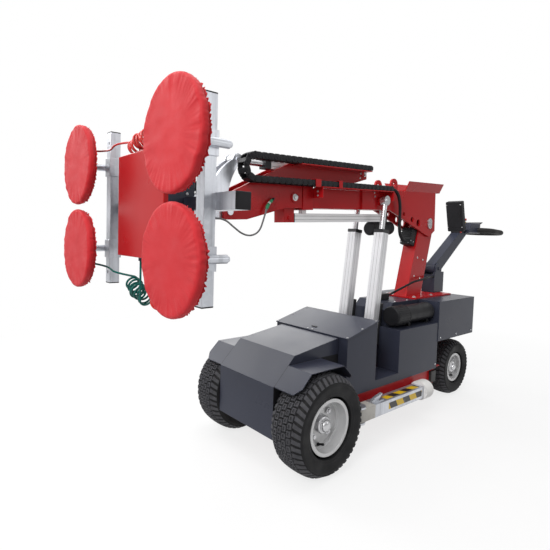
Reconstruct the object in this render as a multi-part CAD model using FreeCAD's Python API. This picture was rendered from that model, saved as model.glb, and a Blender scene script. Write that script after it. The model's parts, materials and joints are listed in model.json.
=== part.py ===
"""Battery-driven glass panel lifter: four wheels, a tiller, a telescopic boom and a suction frame.

Lengths are millimetres. X runs to the rear along the machine, Y to its right, Z up.
Places along X are stations, measured from the front axle, until the finished pieces are
moved so that the origin lies on the ground under the middle of the machine.
"""
import FreeCAD, Part
import math
import os

V = FreeCAD.Vector
ALONG_X = V(1, 0, 0)
ALONG_Y = V(0, 1, 0)
ALONG_Z = V(0, 0, 1)
SIDES = {"left": -1, "right": 1}

# General
overrun = 5.0
sheet = 3.0
slide_play = 0.3
shaft_play = 0.05
side_play = 1.0
screw_head_radius = 6.0
screw_head_height = 3.0

# Front wheels
front_tyre_radius = 203.0
front_tyre_width = 158.0
front_rim_radius = 102.0
front_rim_width = 128.0
front_track = 520.0
front_axle_radius = 20.0
front_dish = 12.0

# Rear wheels and steering
wheelbase = 1345.0
rear_tyre_radius = 165.0
rear_tyre_width = 122.0
rear_rim_radius = 75.0
rear_rim_width = 96.0
rear_track = 224.0
rear_axle_radius = 14.0
rear_dish = 14.0
bogie_width = 72.0
bogie_length = 90.0
bogie_low = 120.0
kingpin_radius = 24.0
kingpin_wall = 21.0

# Tyres and rims
tyre_wall = 14.0
crown_drop = 9.0
rim_sheet = 4.0
rim_lip = 10.0
rim_disc = 6.0
hub_radius = 36.0
hub_reach = 26.0
wheel_bolts = 4
bolt_circle_share = 0.58
bolt_radius = 7.0
bolt_head = 6.0
tread_share = 0.42
bulge_share = 0.45

# Chassis frame
frame_low = 150.0
frame_height = 82.0
floor_plate = 4.0
frame_front = -120.0
frame_rear = 1075.0
beam_width = 60.0
beam_cover_gap = 13.0
skirt_gap = 45.0
skirt_plate = 8.0
skirt_front = 225.0
skirt_rear = 1008.0
cross_member = 60.0
drive_radius = 62.0
drive_width = 220.0
deck_low = 371.0
deck_plate = 12.0
riser_plate = 10.0
lift_base_length = 80.0
lift_base_half = 112.0
bumper_length = 46.0
bumper_height = 60.0
bumper_depth = 14.0

# Covers
hood_tyre_gap = 5.0
hood_front = -166.0
hood_low = 141.0
hood_brow = 350.0
hood_slope_end = -55.0
hood_slope_top = 457.0
hood_rear = 215.0
hood_rear_top = 494.0
fender_reach = 42.0
fender_top = 424.0
fender_front_low = 352.0
fender_top_rear = 100.0
fender_rear = 172.0
fender_rear_low = 356.0
fender_chamfer = 24.0
cover_reach = 17.0
box_front = 221.0
box_front_top = 496.0
box_rear = 437.0
box_rear_top = 550.0
lid_overhang = 4.0
lid_plate = 5.0
sill_top = 275.0
mid_front = 629.0
mid_rear = 1003.0
mid_top = 486.0
tunnel_half = 106.0
tunnel_top = 600.0
tunnel_front_top = 560.0
tunnel_front = 705.0
tunnel_chamfer = 40.0
rear_box_reach = 3.0
rear_box_top = 600.0
rear_box_overhang = 71.0
deck_overhang = 30.0
deck_front = 962.0
red_plate = 8.0

# Document tube and terminal box
document_radius = 46.0
document_cap_radius = 50.0
document_front = 640.0
document_length = 345.0
document_cap_length = 112.0
document_y = 160.0
clip_width = 18.0
terminal_length = 80.0
terminal_width = 60.0
terminal_height = 34.0
terminal_front = 745.0

# Mast
mast_width = 80.0
mast_depth = 148.0
mast_wall = 8.0
mast_lean = 15.1
pivot_station = 1170.0
pivot_height = 1030.0
pivot_radius = 20.0
pivot_keeper_radius = 20.0
pivot_keeper_half = 11.0
pivot_head = 7.0
keeper_bolt_radius = 6.0
pedestal_length = 108.0
pedestal_width = 120.0
socket_box_drop = 62.0
socket_box_height = 100.0
socket_box_depth = 58.0
socket_box_width = 64.0

# Boom, measured from its pivot with the boom level
boom_droop = 2.3
boom_half = 43.0
boom_low = 74.0
boom_height = 91.0
boom_wall = 5.0
boom_front = 1071.0
boom_tube_rear = 330.0
collar_length = 64.0
collar_proud = 7.0
fork_plate = 10.0
fork_front = 650.0
fork_top = 180.0
fork_rear = 65.0
fork_belly = 80.0
fork_heel = 44.0
fork_throat = 320.0
fork_throat_low = 41.0
fork_step = 410.0
rear_hole_ahead = 121.0
rear_hole_rise = 4.0
rear_hole_radius = 20.0
middle_hole_ahead = 186.0
middle_hole_rise = 24.0
middle_hole_radius = 16.0
front_hole_ahead = 272.0
front_hole_rise = 54.0
front_hole_radius = 12.0
lug_station = 372.0
lug_width = 62.0
lug_height = 62.0
lug_hole = 12.0
lug_plate = 10.0
tray_front = 264.0
tray_rear = 110.0
tray_flare = 26.0
tray_rise = 52.0
tray_plate = 5.0

# Telescopic stage and nose
inner_rear = 470.0
inner_wall = 6.0
telescope_travel = 400.0
knuckle_front = 1171.0
knuckle_gap = 2.0
nose_half = 46.0
nose_plate = 10.0
nose_low = 25.0
nose_front = 1500.0
nose_flat_end = 1386.0
nose_brow = 128.0
nose_brow_station = 1470.0
nose_chin = 60.0
fin_front = 1135.0
fin_top = 270.0
fin_low = 188.0
fin_rear = 610.0
fin_rise_station = 760.0
fin_tail_low = 225.0
stage_bolt_radius = 22.0
stage_bolt_proud = 5.0

# Telescope drive under the boom
tele_half = 20.0
tele_axis = 32.0
tele_front = 1093.0
tele_rear = 384.0
tele_rod_radius = 12.0
tele_bracket_plate = 10.0
tele_bracket_front = 1168.0
tele_pin_radius = 10.0
tele_motor_radius = 35.0
tele_motor_front = 520.0
tele_motor_rear = 330.0
tele_cap = 14.0

# Tilt drive on the boom
tilt_half = 20.0
tilt_pin_station = 1418.0
tilt_pin_height = 258.0
tilt_rear_station = 644.0
tilt_rear_height = 246.0
tilt_barrel_front = 1250.0
tilt_rod_radius = 12.0
tilt_rod_inside = 440.0
tilt_eye_radius = 22.0
tilt_eye_width = 26.0
tilt_pin_radius = 10.0

# Tilt bracket and rotator, upright with the boom at rest
tilt_axis_station = 1470.0
tilt_axis_rise = 55.0
tilt_axis_radius = 14.0
lever_plate = 12.0
lever_inner = 20.0
lever_boss = 30.0
lever_top_radius = 24.0
rotator_height = 1033.0
rotator_radius = 55.0
rotator_rear = -392.0
rotator_back_plate = 12.0
rotator_back_half = 62.0
flange_radius = 84.0
flange_plate = 12.0
knob_radius = 15.0
knob_height = 46.0
knob_station = -420.0
knob_collar_share = 1.2
knob_cap_share = 0.8

# Suction frame
crossbar_side = 40.0
crossbar_wall = 3.0
crossbar_half = 440.0
crossbar_station = -564.0
sleeve_side = 50.0
sleeve_inner = 312.0
sleeve_outer = 452.0
end_cap = 8.0
post_side = 40.0
post_wall = 3.0
post_offset = 340.0
post_drop = 302.0
post_rise = 300.0
post_cap = 4.0
post_hole = 6.0
post_hole_drop = 42.0
box_half = 176.0
box_drop = 182.0
box_rise = 181.0
box_depth = 112.0
box_cover_depth = 16.0
vacuum_tank_radius = 60.0
vacuum_tank_half = 130.0

# Suction cups
cup_rise = 163.0
cup_drop = 165.0
cup_radius = 148.0
cup_plate = 8.0
cup_plate_front = -735.0
seal_depth = 12.0
seal_width = 26.0
cover_radius = 156.0
cover_front = -753.0
cover_cloth = 4.0
cover_round = 14.0
slider_length = 72.0
slider_wall = 4.5
stem_radius = 13.0
stem_sink = 4.0
stem_rear = -556.0
stem_collar = 18.0
stem_collar_length = 30.0
stem_end_radius = 8.0
stem_end = 8.0
port_radius = 9.0
port_length = 37.0
port_offset = 62.0

# Lift drives
lift_offset = 82.0
lift_low_station = 566.0
lift_low_height = 330.0
lift_pin_station = 500.0
lift_pin_rise = 120.0
lift_half = 27.0
lift_barrel_low = 30.0
lift_rod_shown = 166.0133
lift_barrel_wall = 8.0
lift_rod_radius = 14.0
lift_rod_floor_gap = 148.0
lift_collar = 16.0
lift_eye_radius = 25.0
lift_eye_half = 15.0
lift_pin_radius = 12.0
lift_motor_radius = 22.0
lift_motor_length = 210.0
lift_motor_rise = 40.0
foot_plate = 8.0

# Tiller
column_length = 112.0
column_half = 40.0
column_top = 735.0
tiller_pivot_ahead = 7.0
tiller_pivot_height = 757.0
tiller_pivot_radius = 10.0
tiller_ear = 10.0
tiller_ear_radius = 34.0
tiller_pitch = 34.6
tiller_length = 425.0
tiller_half = 29.0
tiller_depth = 74.0
tiller_end_depth = 60.0
head_front_reach = 327.0
head_rear_reach = 493.0
head_half = 62.0
head_low = 984.0
head_top = 1052.0
head_nose = 1004.0
head_nose_length = 34.0
grip_radius = 17.0
grip_half = 122.0
grip_front_reach = 455.0
grip_rear_reach = 751.0
grip_corner = 96.0
grip_height = 1006.0
grip_slope = 3.0
stop_radius = 18.0
stop_height = 16.0
stop_base_radius = 15.0
stop_base_height = 10.0
stop_reach = 377.0
stop_travel = 4.0
flap_reach = 477.0
flap_pin_radius = 4.0
flap_height = 1042.0
flap_half = 56.0
flap_length = 58.0
flap_plate = 9.0
flap_rise = 16.0
handset_half = 52.0
handset_depth = 40.0
handset_height = 200.0
handset_lean = 15.0
handset_reach = 287.0
handset_low = 996.0

# Outriggers
outrigger_pivot_station = 262.0
outrigger_offset = 53.0
outrigger_low = 142.0
outrigger_side = 58.0
outrigger_length = 500.0
outrigger_heel = 34.0
outrigger_wall = 4.0
outrigger_pin_radius = 10.0
outrigger_ear = 8.0
outrigger_roller_radius = 47.0
outrigger_roller_length = 82.0
outrigger_roller_round = 26.0
outrigger_stub_radius = 12.0
outrigger_latch_length = 78.0
outrigger_latch_width = 30.0
outrigger_latch_height = 18.0
outrigger_latch_station = 96.0
latch_foot_share = 0.6
latch_tip_share = 1.6
latch_knee_share = 0.3

# Energy chain on the left of the boom
chain_inner = 56.0
chain_width = 50.0
chain_height = 26.0
chain_low = 168.0
chain_radius = 32.0
chain_front = 1384.0
chain_upper_rear = 645.0
chain_lower_rear = 455.0
chain_rail = 4.0

# Hoses and cables
hose_radius = 4.0
hose_coil_radius = 26.0
hose_coil_outer = 176.0
hose_coil_inner = 42.0
hose_upper_start = 38.0
hose_upper_end = 66.0
hose_upper_quarters = 37
hose_lower_start = 106.0
hose_lower_end = 152.0
hose_lower_quarters = 35
hose_lead = 84.0
hose_swing = 42.0
hose_lead_slope_share = 0.2
hose_fitting_radius = 8.0
hose_fitting_height = 14.0
cable_radius = 3.5
conduit_radius = 9.0
lead_radius = 6.0
head_cable_gap = 16.0
head_cable_route = ((226, 16, 66), (206, 0, 60), (178, 0, 36), (160, 0, -20), (140, 0, -72), (98, 0, -92),
                    (52, 0, -86), (6, 0, -58), (-36, 4, -28), (-78.97, 4, -28))
conduit_lead = 42.0
conduit_route = ((792, -79, 1170), (816, -76, 1120), (825, -72, 1062), (832, -66, 1006), (856, -58, 960),
                 (902, -46, 932), (954, -32, 922), (1009, -20, 926))
tiller_cable_steps = ((0, 0, 0), (40, 0, 0), (84, -22, 26), (136, -46, 52))
tiller_cable_route = ((1016, -62, 694), (1082, -68, 700), (1148, -66, 708), (1200, -52, 712), (1246, -32,
                                                                                               708))
bend_share = 0.45
tiny_share = 1e-9
tiny_length = 1e-7

# Worked-out places
axle_front = V(0, 0, front_tyre_radius)
axle_rear = V(wheelbase, 0, rear_tyre_radius)
floor_top = frame_low + frame_height + floor_plate
hood_side_low = frame_low + frame_height
hood_half = front_track / 2 - front_tyre_width / 2 - hood_tyre_gap
fender_half = front_track / 2 + fender_reach
beam_offset = hood_half - sheet - beam_cover_gap - beam_width
skirt_offset = beam_offset + beam_width + skirt_gap
cover_half = skirt_offset + cover_reach
rear_box_half = cover_half + rear_box_reach
outrigger_pivot_y = skirt_offset + outrigger_offset
rear_box_rear = wheelbase + rear_box_overhang
deck_rear = wheelbase + deck_overhang
rear_box_low = deck_low + deck_plate
deck_top = rear_box_top + red_plate
pivot = V(pivot_station, 0, pivot_height)
fork_inner = boom_half
fork_outer = boom_half + fork_plate
boom_top = boom_low + boom_height
chain_outer = chain_inner + chain_width
crossbar_front = crossbar_station - crossbar_side / 2
crossbar_back = crossbar_station + crossbar_side / 2
post_back = crossbar_station - sleeve_side / 2
post_station = post_back - post_side / 2
box_back = crossbar_back
box_face = box_back - box_depth
post_low = rotator_height - post_drop
post_high = rotator_height + post_rise
box_low = rotator_height - box_drop
box_high = rotator_height + box_rise
stem_offset = post_offset + post_side / 2 + slider_wall + stem_radius - stem_sink
cover_depth = cup_plate_front + cup_plate + cover_cloth - cover_front
tiller_pivot = V(wheelbase - tiller_pivot_ahead, 0, tiller_pivot_height)
head_front = wheelbase + head_front_reach
head_rear = wheelbase + head_rear_reach
grip_front = wheelbase + grip_front_reach
grip_rear = wheelbase + grip_rear_reach
stop_station = wheelbase + stop_reach
flap_station = wheelbase + flap_reach
handset_station = wheelbase + handset_reach
lift_low = V(lift_low_station, 0, lift_low_height)


def block(x0, x1, y0, y1, z0, z1):
    """Box between two corners."""
    return Part.makeBox(x1 - x0, y1 - y0, z1 - z0, V(x0, y0, z0))


def bar(start, end, radius):
    """Round bar from one point to another."""
    run = end - start
    return Part.makeCylinder(radius, run.Length, start, run)


def cross_bar(x, z, y0, y1, radius):
    """Round bar along Y."""
    return bar(V(x, y0, z), V(x, y1, z), radius)


def upright(x, y, z0, z1, radius):
    """Round bar along Z."""
    return bar(V(x, y, z0), V(x, y, z1), radius)


def outline(points, radius=0):
    """Closed flat outline whose corners are rounded by one radius."""
    if not radius:
        return Part.makePolygon(points + points[:1])
    edges = []
    count = len(points)
    ends = []
    for i, corner in enumerate(points):
        before = (points[i - 1] - corner).normalize()
        after = (points[(i + 1) % count] - corner).normalize()
        half = before.getAngle(after) / 2
        back = radius / math.tan(half)
        middle = (before + after).normalize() * (radius / math.sin(half) - radius)
        ends.append((corner + before * back, corner + middle, corner + after * back))
    for i, (start, middle, end) in enumerate(ends):
        edges.append(Part.Arc(start, middle, end).toShape())
        edges.append(Part.makeLine(end, ends[(i + 1) % count][0]))
    return Part.Wire(edges)


def slab(points, push, radius=0):
    """Outline pushed into a solid."""
    return Part.Face(outline(points, radius)).extrude(push)


def side_profile(points, y0, y1, radius=0):
    """Outline of X and Z places, pushed from y0 to y1."""
    return slab([V(x, y0, z) for x, z in points], V(0, y1 - y0, 0), radius)


def plan_profile(points, z0, z1, radius=0):
    """Outline of X and Y places, pushed from z0 to z1."""
    return slab([V(x, y, z0) for x, y in points], V(0, 0, z1 - z0), radius)


def fused(pieces):
    """One solid from pieces that touch or overlap."""
    whole = pieces[0].multiFuse(pieces[1:])
    return whole.removeSplitter()


def mirrored(shape):
    """The same piece on the other side of the machine."""
    return shape.mirror(V(0, 0, 0), ALONG_Y)


def on_side(shape, side):
    """A piece drawn for the left side, set on the named side."""
    return shape if side == "left" else mirrored(shape)


def turned(shape, centre, axis, angle):
    """A turned copy."""
    copy = shape.copy()
    copy.rotate(centre, axis, angle)
    return copy


def moved(shape, offset):
    """A shifted copy."""
    copy = shape.copy()
    copy.translate(offset)
    return copy


def on_boom(shape):
    """A piece drawn on the level boom about its pivot, set at the boom's resting angle."""
    return moved(turned(shape, V(0, 0, 0), ALONG_Y, -boom_droop), pivot)


def boom_point(ahead, height):
    """Place of a boom point, given its distance ahead of the pivot and its height."""
    point = V(-ahead, 0, height)
    return FreeCAD.Rotation(ALONG_Y, -boom_droop).multVec(point) + pivot


def tyre(radius, width, rim_radius, rim_width):
    """Hollow tyre about Y with a rounded tread."""
    def section(inset):
        bead = rim_width / 2 - rim_sheet - inset
        shoulder = width * tread_share - inset
        bulge = rim_radius + (radius - rim_radius) * bulge_share
        low = V(rim_radius, bead, 0)
        lip = V(rim_radius + rim_lip + side_play, bead, 0)
        side = V(bulge, width / 2 - inset, 0)
        high = V(radius - crown_drop - inset, shoulder, 0)
        crown = V(radius - inset, 0, 0)
        flip = FreeCAD.Matrix()
        flip.scale(1, -1, 1)
        far = [flip.multVec(p) for p in (low, lip, side, high)]
        return [
            Part.makeLine(low, lip),
            Part.Arc(lip, side, high).toShape(),
            Part.Arc(high, crown, far[3]).toShape(),
            Part.Arc(far[3], far[2], far[1]).toShape(),
            Part.makeLine(far[1], far[0]),
        ], low, far[0]
    outer, low, low_far = section(0)
    inner, inner_low, inner_far = section(tyre_wall)
    wire = Part.Wire(Part.__sortEdges__(
        outer + inner + [Part.makeLine(low, inner_low), Part.makeLine(low_far, inner_far)]))
    return Part.Face(wire).revolve(V(0, 0, 0), ALONG_Y)


def ring_y(radius, bore, y0, y1):
    """Ring about Y."""
    return cross_bar(0, 0, y0, y1, radius).cut(cross_bar(0, 0, y0 - overrun, y1 + overrun, bore))


def bolt_places(radius):
    """Places of the wheel bolts round the hub."""
    steps = [math.pi * (2 * i + 1) / wheel_bolts for i in range(wheel_bolts)]
    return [(radius * math.cos(a), radius * math.sin(a)) for a in steps]


def rim(rim_radius, rim_width, dish, axle_radius):
    """Pressed rim about Y; its face looks to the left, its disc sits inside by the dish."""
    half = rim_width / 2
    barrel = ring_y(rim_radius, rim_radius - rim_sheet, -half, half)
    lips = [ring_y(rim_radius + rim_lip, rim_radius - rim_sheet, -half, -half + rim_sheet),
            ring_y(rim_radius + rim_lip, rim_radius - rim_sheet, half - rim_sheet, half)]
    bore = axle_radius + shaft_play
    disc = ring_y(rim_radius - rim_sheet, bore, -dish, -dish + rim_disc)
    step = ring_y(rim_radius - rim_sheet, rim_radius - rim_sheet - rim_lip, -dish - rim_lip, -dish)
    return fused([barrel, disc, step] + lips)


def hub(rim_radius, dish, axle_radius):
    """Hub cap with its bolts, standing on the rim disc and closing over the axle end."""
    cap = cross_bar(0, 0, -dish - hub_reach, -dish, hub_radius)
    rounded = cap.makeFillet(hub_radius / 4, [cap.Edges[0] if cap.Edges[0].BoundBox.YMax < -dish - overrun
                                              else cap.Edges[2]])
    bore = axle_radius + shaft_play
    bored = rounded.cut(cross_bar(0, 0, -dish - hub_reach / 2, -dish + overrun, bore))
    heads = [cross_bar(x, z, -dish - bolt_head, -dish, bolt_radius)
             for x, z in bolt_places(rim_radius * bolt_circle_share)]
    return [bored] + heads


def wheels(nodes):
    """Tyres and rims of the four wheels, each rim with its hub cap and bolts."""
    sets = (
        ("front", axle_front, front_tyre_radius, front_tyre_width, front_rim_radius, front_rim_width,
         front_track, front_dish, front_axle_radius),
        ("rear", axle_rear, rear_tyre_radius, rear_tyre_width, rear_rim_radius, rear_rim_width,
         rear_track, rear_dish, rear_axle_radius),
    )
    for name, axle, radius, width, rim_radius, rim_width, track, dish, axle_radius in sets:
        pieces = {
            "tyre": tyre(radius, width, rim_radius, rim_width),
            "rim": fused([rim(rim_radius, rim_width, dish, axle_radius)] + hub(rim_radius, dish,
                                                                               axle_radius)),
        }
        for side in SIDES:
            for piece, shape in pieces.items():
                placed = moved(shape, axle - ALONG_Y * (track / 2))
                nodes[f"{name}_{piece}_{side}"] = on_side(placed, side)


def chassis_frame():
    """Welded frame: two beams, cross members, a floor, side skirts and the raised rear deck."""
    low, high = frame_low, frame_low + frame_height
    pieces = []
    for sign in SIDES.values():
        inner, outer = sorted((sign * beam_offset, sign * (beam_offset + beam_width)))
        pieces.append(block(frame_front, frame_rear, inner, outer, low, high))
        inner, outer = sorted((sign * (skirt_offset - skirt_plate), sign * skirt_offset))
        pieces.append(block(skirt_front, skirt_rear, inner, outer, low, high))
        inner, outer = sorted((sign * beam_offset, sign * (beam_offset + riser_plate)))
        pieces.append(block(mid_rear, frame_rear, inner, outer, high, deck_low))
    for x in (mid_front, frame_rear - cross_member):
        pieces.append(block(x, x + cross_member, -beam_offset, beam_offset, low, high))
    pieces.append(block(frame_front, frame_front + cross_member, sheet - hood_half, hood_half - sheet,
                        low, high))
    for x in (skirt_front, skirt_rear - cross_member):
        pieces.append(block(x, x + cross_member, -skirt_offset, skirt_offset, low, high))
    pieces.append(block(skirt_front, frame_rear, -skirt_offset, skirt_offset, high, floor_top))
    deck = block(mid_rear, rear_box_rear - sheet, -rear_track / 2, rear_track / 2,
                 deck_low, deck_low + deck_plate)
    base = lift_low.x - lift_base_length / 2
    pieces.append(block(base, base + lift_base_length, -lift_base_half, lift_base_half, floor_top,
                        sill_top - sheet))
    housing = upright(wheelbase, 0, deck_low, rear_box_top, kingpin_radius + kingpin_wall)
    pieces += [deck, housing, pedestal(), front_axle()]
    return fused(pieces).cut(upright(wheelbase, 0, deck_low - overrun, deck_top,
                                     kingpin_radius + shaft_play))


def front_axle():
    """Axle tube with its drive unit and the two stub shafts that carry the wheels."""
    reach = front_track / 2 + front_dish + hub_reach / 2 - side_play
    inner = front_track / 2 + front_dish - rim_disc - side_play
    tube = cross_bar(0, axle_front.z, -inner, inner, front_axle_radius * 2)
    drive = cross_bar(0, axle_front.z, -drive_width / 2, drive_width / 2, drive_radius)
    shaft = cross_bar(0, axle_front.z, -reach, reach, front_axle_radius)
    room = block(-drive_radius, drive_radius, -beam_offset + side_play, beam_offset - side_play,
                 0, floor_top)
    return fused([tube, drive.common(room), shaft])


def bogie():
    """Steered rear axle block with its shaft and the kingpin that rises to the tiller."""
    half = bogie_width / 2
    x0, x1 = wheelbase - bogie_length / 2, wheelbase + bogie_length / 2
    top = deck_low - side_play
    body = block(x0, x1, -half, half, bogie_low, top)
    reach = rear_track / 2 + rear_dish + hub_reach / 2 - side_play
    shaft = cross_bar(wheelbase, rear_tyre_radius, -reach, reach, rear_axle_radius)
    pin = upright(wheelbase, 0, bogie_low, column_top - column_length / 2, kingpin_radius)
    return fused([body, shaft, pin])


def hood():
    """Folded front cover: brow plate, slope, top and two cheeks, open below."""
    points = [(hood_front, hood_low), (hood_front, hood_brow), (hood_slope_end, hood_slope_top),
              (hood_rear, hood_rear_top), (hood_rear, hood_side_low), (hood_front, hood_side_low)]
    shell = side_profile(points[:1] + points[1:5] + [(hood_front + sheet, hood_side_low),
                                                     (hood_front + sheet, hood_low)],
                         -hood_half, hood_half)
    inner = [(hood_front + sheet, hood_low - overrun), (hood_front + sheet, hood_brow - sheet / 2),
             (hood_slope_end + sheet / 2, hood_slope_top - sheet),
             (hood_rear + overrun, hood_rear_top - sheet),
             (hood_rear + overrun, hood_low - overrun)]
    notch = cross_bar(0, axle_front.z, -hood_half - overrun, hood_half + overrun,
                      2 * front_axle_radius + side_play)
    return shell.cut(side_profile(inner, -hood_half + sheet, hood_half - sheet)).cut(notch)


def fender():
    """Bent sheet over the left front wheel."""
    run = hood_slope_end - hood_front
    slope = run / (hood_slope_top - hood_brow)
    front_top = hood_front + (fender_top - hood_brow) * slope
    front_low = hood_front + (fender_front_low - hood_brow) * slope
    over = [(front_low, fender_front_low), (front_top, fender_top),
            (fender_top_rear, fender_top), (fender_rear, fender_rear_low)]
    under = [(x, z - sheet) for x, z in over]
    strip = side_profile(over + under[::-1], -fender_half, -hood_half)
    for x in (front_low, fender_rear):
        corner = plan_profile([(x - fender_chamfer, -fender_half), (x, -fender_half + fender_chamfer),
                               (x + fender_chamfer, -fender_half), (x, -fender_half - fender_chamfer)],
                              0, fender_top)
        strip = strip.cut(corner)
    return strip


def front_box():
    """Walls of the front cover box under its sloping lid."""
    points = [(box_front, floor_top), (box_front, box_front_top), (box_rear, box_rear_top),
              (box_rear, floor_top)]
    outer = side_profile(points, -cover_half, cover_half)
    rise = (box_rear_top - box_front_top) / (box_rear - box_front)
    inner = [(box_front + sheet, floor_top - overrun),
             (box_front + sheet, box_front_top + overrun + rise * sheet),
             (box_rear - sheet, box_rear_top + overrun), (box_rear - sheet, floor_top - overrun)]
    return outer.cut(side_profile(inner, -cover_half + sheet, cover_half - sheet))


def front_lid():
    """Sloping lid that caps the front box."""
    points = [(box_front - lid_overhang, box_front_top), (box_rear + lid_overhang, box_rear_top),
              (box_rear + lid_overhang, box_rear_top + lid_plate),
              (box_front - lid_overhang, box_front_top + lid_plate)]
    rise = (box_rear_top - box_front_top) / (box_rear - box_front)
    points[0] = (points[0][0], box_front_top - rise * lid_overhang)
    points[3] = (points[3][0], points[0][1] + lid_plate)
    points[1] = (points[1][0], box_rear_top + rise * lid_overhang)
    points[2] = (points[2][0], points[1][1] + lid_plate)
    reach = cover_half + lid_overhang
    return side_profile(points, -reach, reach)


def recess_tray():
    """Tray between the boxes: a raised floor with side sills."""
    floor = block(box_rear, mid_front, -cover_half, cover_half, sill_top - sheet, sill_top)
    sills = [block(box_rear, mid_front, y, y + sheet, floor_top, sill_top)
             for y in (-cover_half, cover_half - sheet)]
    return fused([floor] + sills)


def side_box():
    """Battery box on the left, open below."""
    outer = block(mid_front, mid_rear, -cover_half, -tunnel_half - side_play, floor_top, mid_top)
    inner = block(mid_front + sheet, mid_rear - sheet, -cover_half + sheet,
                  -tunnel_half - side_play - sheet, floor_top - overrun, mid_top - sheet)
    return outer.cut(inner)


def tunnel():
    """Centre cover between the battery boxes, open below and behind."""
    def profile(inset, drop, back):
        return [(tunnel_front + inset, floor_top - drop), (tunnel_front + inset, tunnel_front_top - inset),
                (tunnel_front + tunnel_chamfer, tunnel_top - inset), (mid_rear + back, tunnel_top - inset),
                (mid_rear + back, floor_top - drop)]
    outer = side_profile(profile(0, 0, 0), -tunnel_half, tunnel_half)
    inner = side_profile(profile(sheet, overrun, overrun), -tunnel_half + sheet, tunnel_half - sheet)
    plate_room = block(deck_front, mid_rear + overrun, -tunnel_half - overrun, tunnel_half + overrun,
                       tunnel_top - sheet - overrun, tunnel_top + overrun)
    pedestal_room = block(mast_base() - pedestal_length / 2 - side_play, frame_rear,
                          -pedestal_width / 2 - side_play, pedestal_width / 2 + side_play,
                          tunnel_top - sheet - overrun, tunnel_top + overrun)
    return outer.cut(inner).cut(pedestal_room.common(plate_room))


def rear_box():
    """Rear cover box, open in front towards the centre cover and pierced by the kingpin."""
    outer = block(mid_rear, rear_box_rear, -rear_box_half, rear_box_half, rear_box_low, rear_box_top)
    inner = block(mid_rear + sheet, rear_box_rear - sheet, -rear_box_half + sheet, rear_box_half - sheet,
                  rear_box_low + sheet, rear_box_top - sheet)
    front_room = block(mid_rear - overrun, mid_rear + sheet + overrun, -tunnel_half, tunnel_half,
                       rear_box_low - overrun, rear_box_top - sheet)
    riser_room = block(mid_rear - overrun, frame_rear + side_play, -pedestal_width / 2 - side_play,
                       pedestal_width / 2 + side_play, rear_box_low - overrun, rear_box_top + overrun)
    pin_room = upright(wheelbase, 0, rear_box_low - overrun, rear_box_top + overrun,
                       kingpin_radius + kingpin_wall + slide_play)
    return outer.cut(inner).cut(front_room).cut(riser_room).cut(pin_room)


def rear_deck():
    """Red plate on the rear cover that carries the mast and the tiller bearing."""
    plate = plan_profile([(deck_front, -tunnel_half), (deck_rear, -tunnel_half),
                          (deck_rear, tunnel_half), (deck_front, tunnel_half)],
                         rear_box_top, deck_top, screw_head_radius)
    return plate.cut(upright(wheelbase, 0, rear_box_top - overrun, deck_top + overrun,
                             kingpin_radius + shaft_play))


def mast_base():
    """Station where the mast's middle line meets its deck."""
    return pivot_station - (pivot_height - deck_top) * math.tan(math.radians(mast_lean))


def pedestal():
    """Block under the deck that takes the mast's load down to the frame floor."""
    x0 = mast_base() - pedestal_length / 2
    half = pedestal_width / 2
    return block(x0, frame_rear, -half, half, floor_top, rear_box_top)


def mast_outline(inset):
    """Side outline of the leaning mast, round at its pivot."""
    lean = math.radians(mast_lean)
    reach = mast_depth / 2 - inset
    along = V(math.sin(lean), 0, math.cos(lean))
    across = V(math.cos(lean), 0, -math.sin(lean))
    foot = reach / math.cos(lean)
    low_front = V(mast_base() - foot, 0, deck_top)
    low_rear = V(mast_base() + foot, 0, deck_top)
    front, rear, top = pivot - across * reach, pivot + across * reach, pivot + along * reach
    return Part.Wire([Part.makeLine(low_front, front), Part.Arc(front, top, rear).toShape(),
                      Part.makeLine(rear, low_rear), Part.makeLine(low_rear, low_front)])


def mast():
    """Leaning hollow mast with the boom's pivot bore at its head."""
    half = mast_width / 2
    outer = moved(Part.Face(mast_outline(0)).extrude(V(0, mast_width, 0)), V(0, -half, 0))
    room = Part.Face(mast_outline(mast_wall)).extrude(V(0, mast_width - 2 * mast_wall, 0))
    bore = cross_bar(pivot.x, pivot.z, -half - overrun, half + overrun, pivot_radius + shaft_play)
    boss = cross_bar(pivot.x, pivot.z, -half + mast_wall, half - mast_wall, pivot_radius + mast_wall)
    return outer.cut(moved(room, V(0, -half + mast_wall, 0))).fuse(boss).cut(bore).removeSplitter()


def pivot_pin():
    """Boom pivot pin with an oval keeper plate and two bolts at each end."""
    reach = fork_outer + side_play
    pieces = [cross_bar(pivot.x, pivot.z, -reach, reach, pivot_radius)]
    radius, up = pivot_keeper_radius, ALONG_Z * pivot_keeper_half
    for y0, y1 in ((-reach - pivot_head, -reach), (reach, reach + pivot_head)):
        edge = y0 - screw_head_height if y0 < 0 else y1 + screw_head_height
        for z in (pivot.z - up.z, pivot.z + up.z):
            pieces.append(cross_bar(pivot.x, z, y0, y1, radius))
            pieces.append(cross_bar(pivot.x, z, min(y0, edge), max(y1, edge), keeper_bolt_radius))
        pieces.append(block(pivot.x - radius, pivot.x + radius, y0, y1, pivot.z - up.z, pivot.z + up.z))
    return fused(pieces)


def socket_box():
    """Connector housing on the mast's front face, under the boom fork."""
    lean = math.radians(mast_lean)
    down = V(-math.sin(lean), 0, -math.cos(lean))
    face = pivot - V(math.cos(lean), 0, -math.sin(lean)) * (mast_depth / 2)
    half = socket_box_width / 2
    body = block(-socket_box_depth, 0, -half, half, -socket_box_height, 0)
    body = body.makeFillet(screw_head_radius, body.Edges)
    return moved(turned(body, V(0, 0, 0), ALONG_Y, mast_lean), face + down * socket_box_drop)


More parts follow.
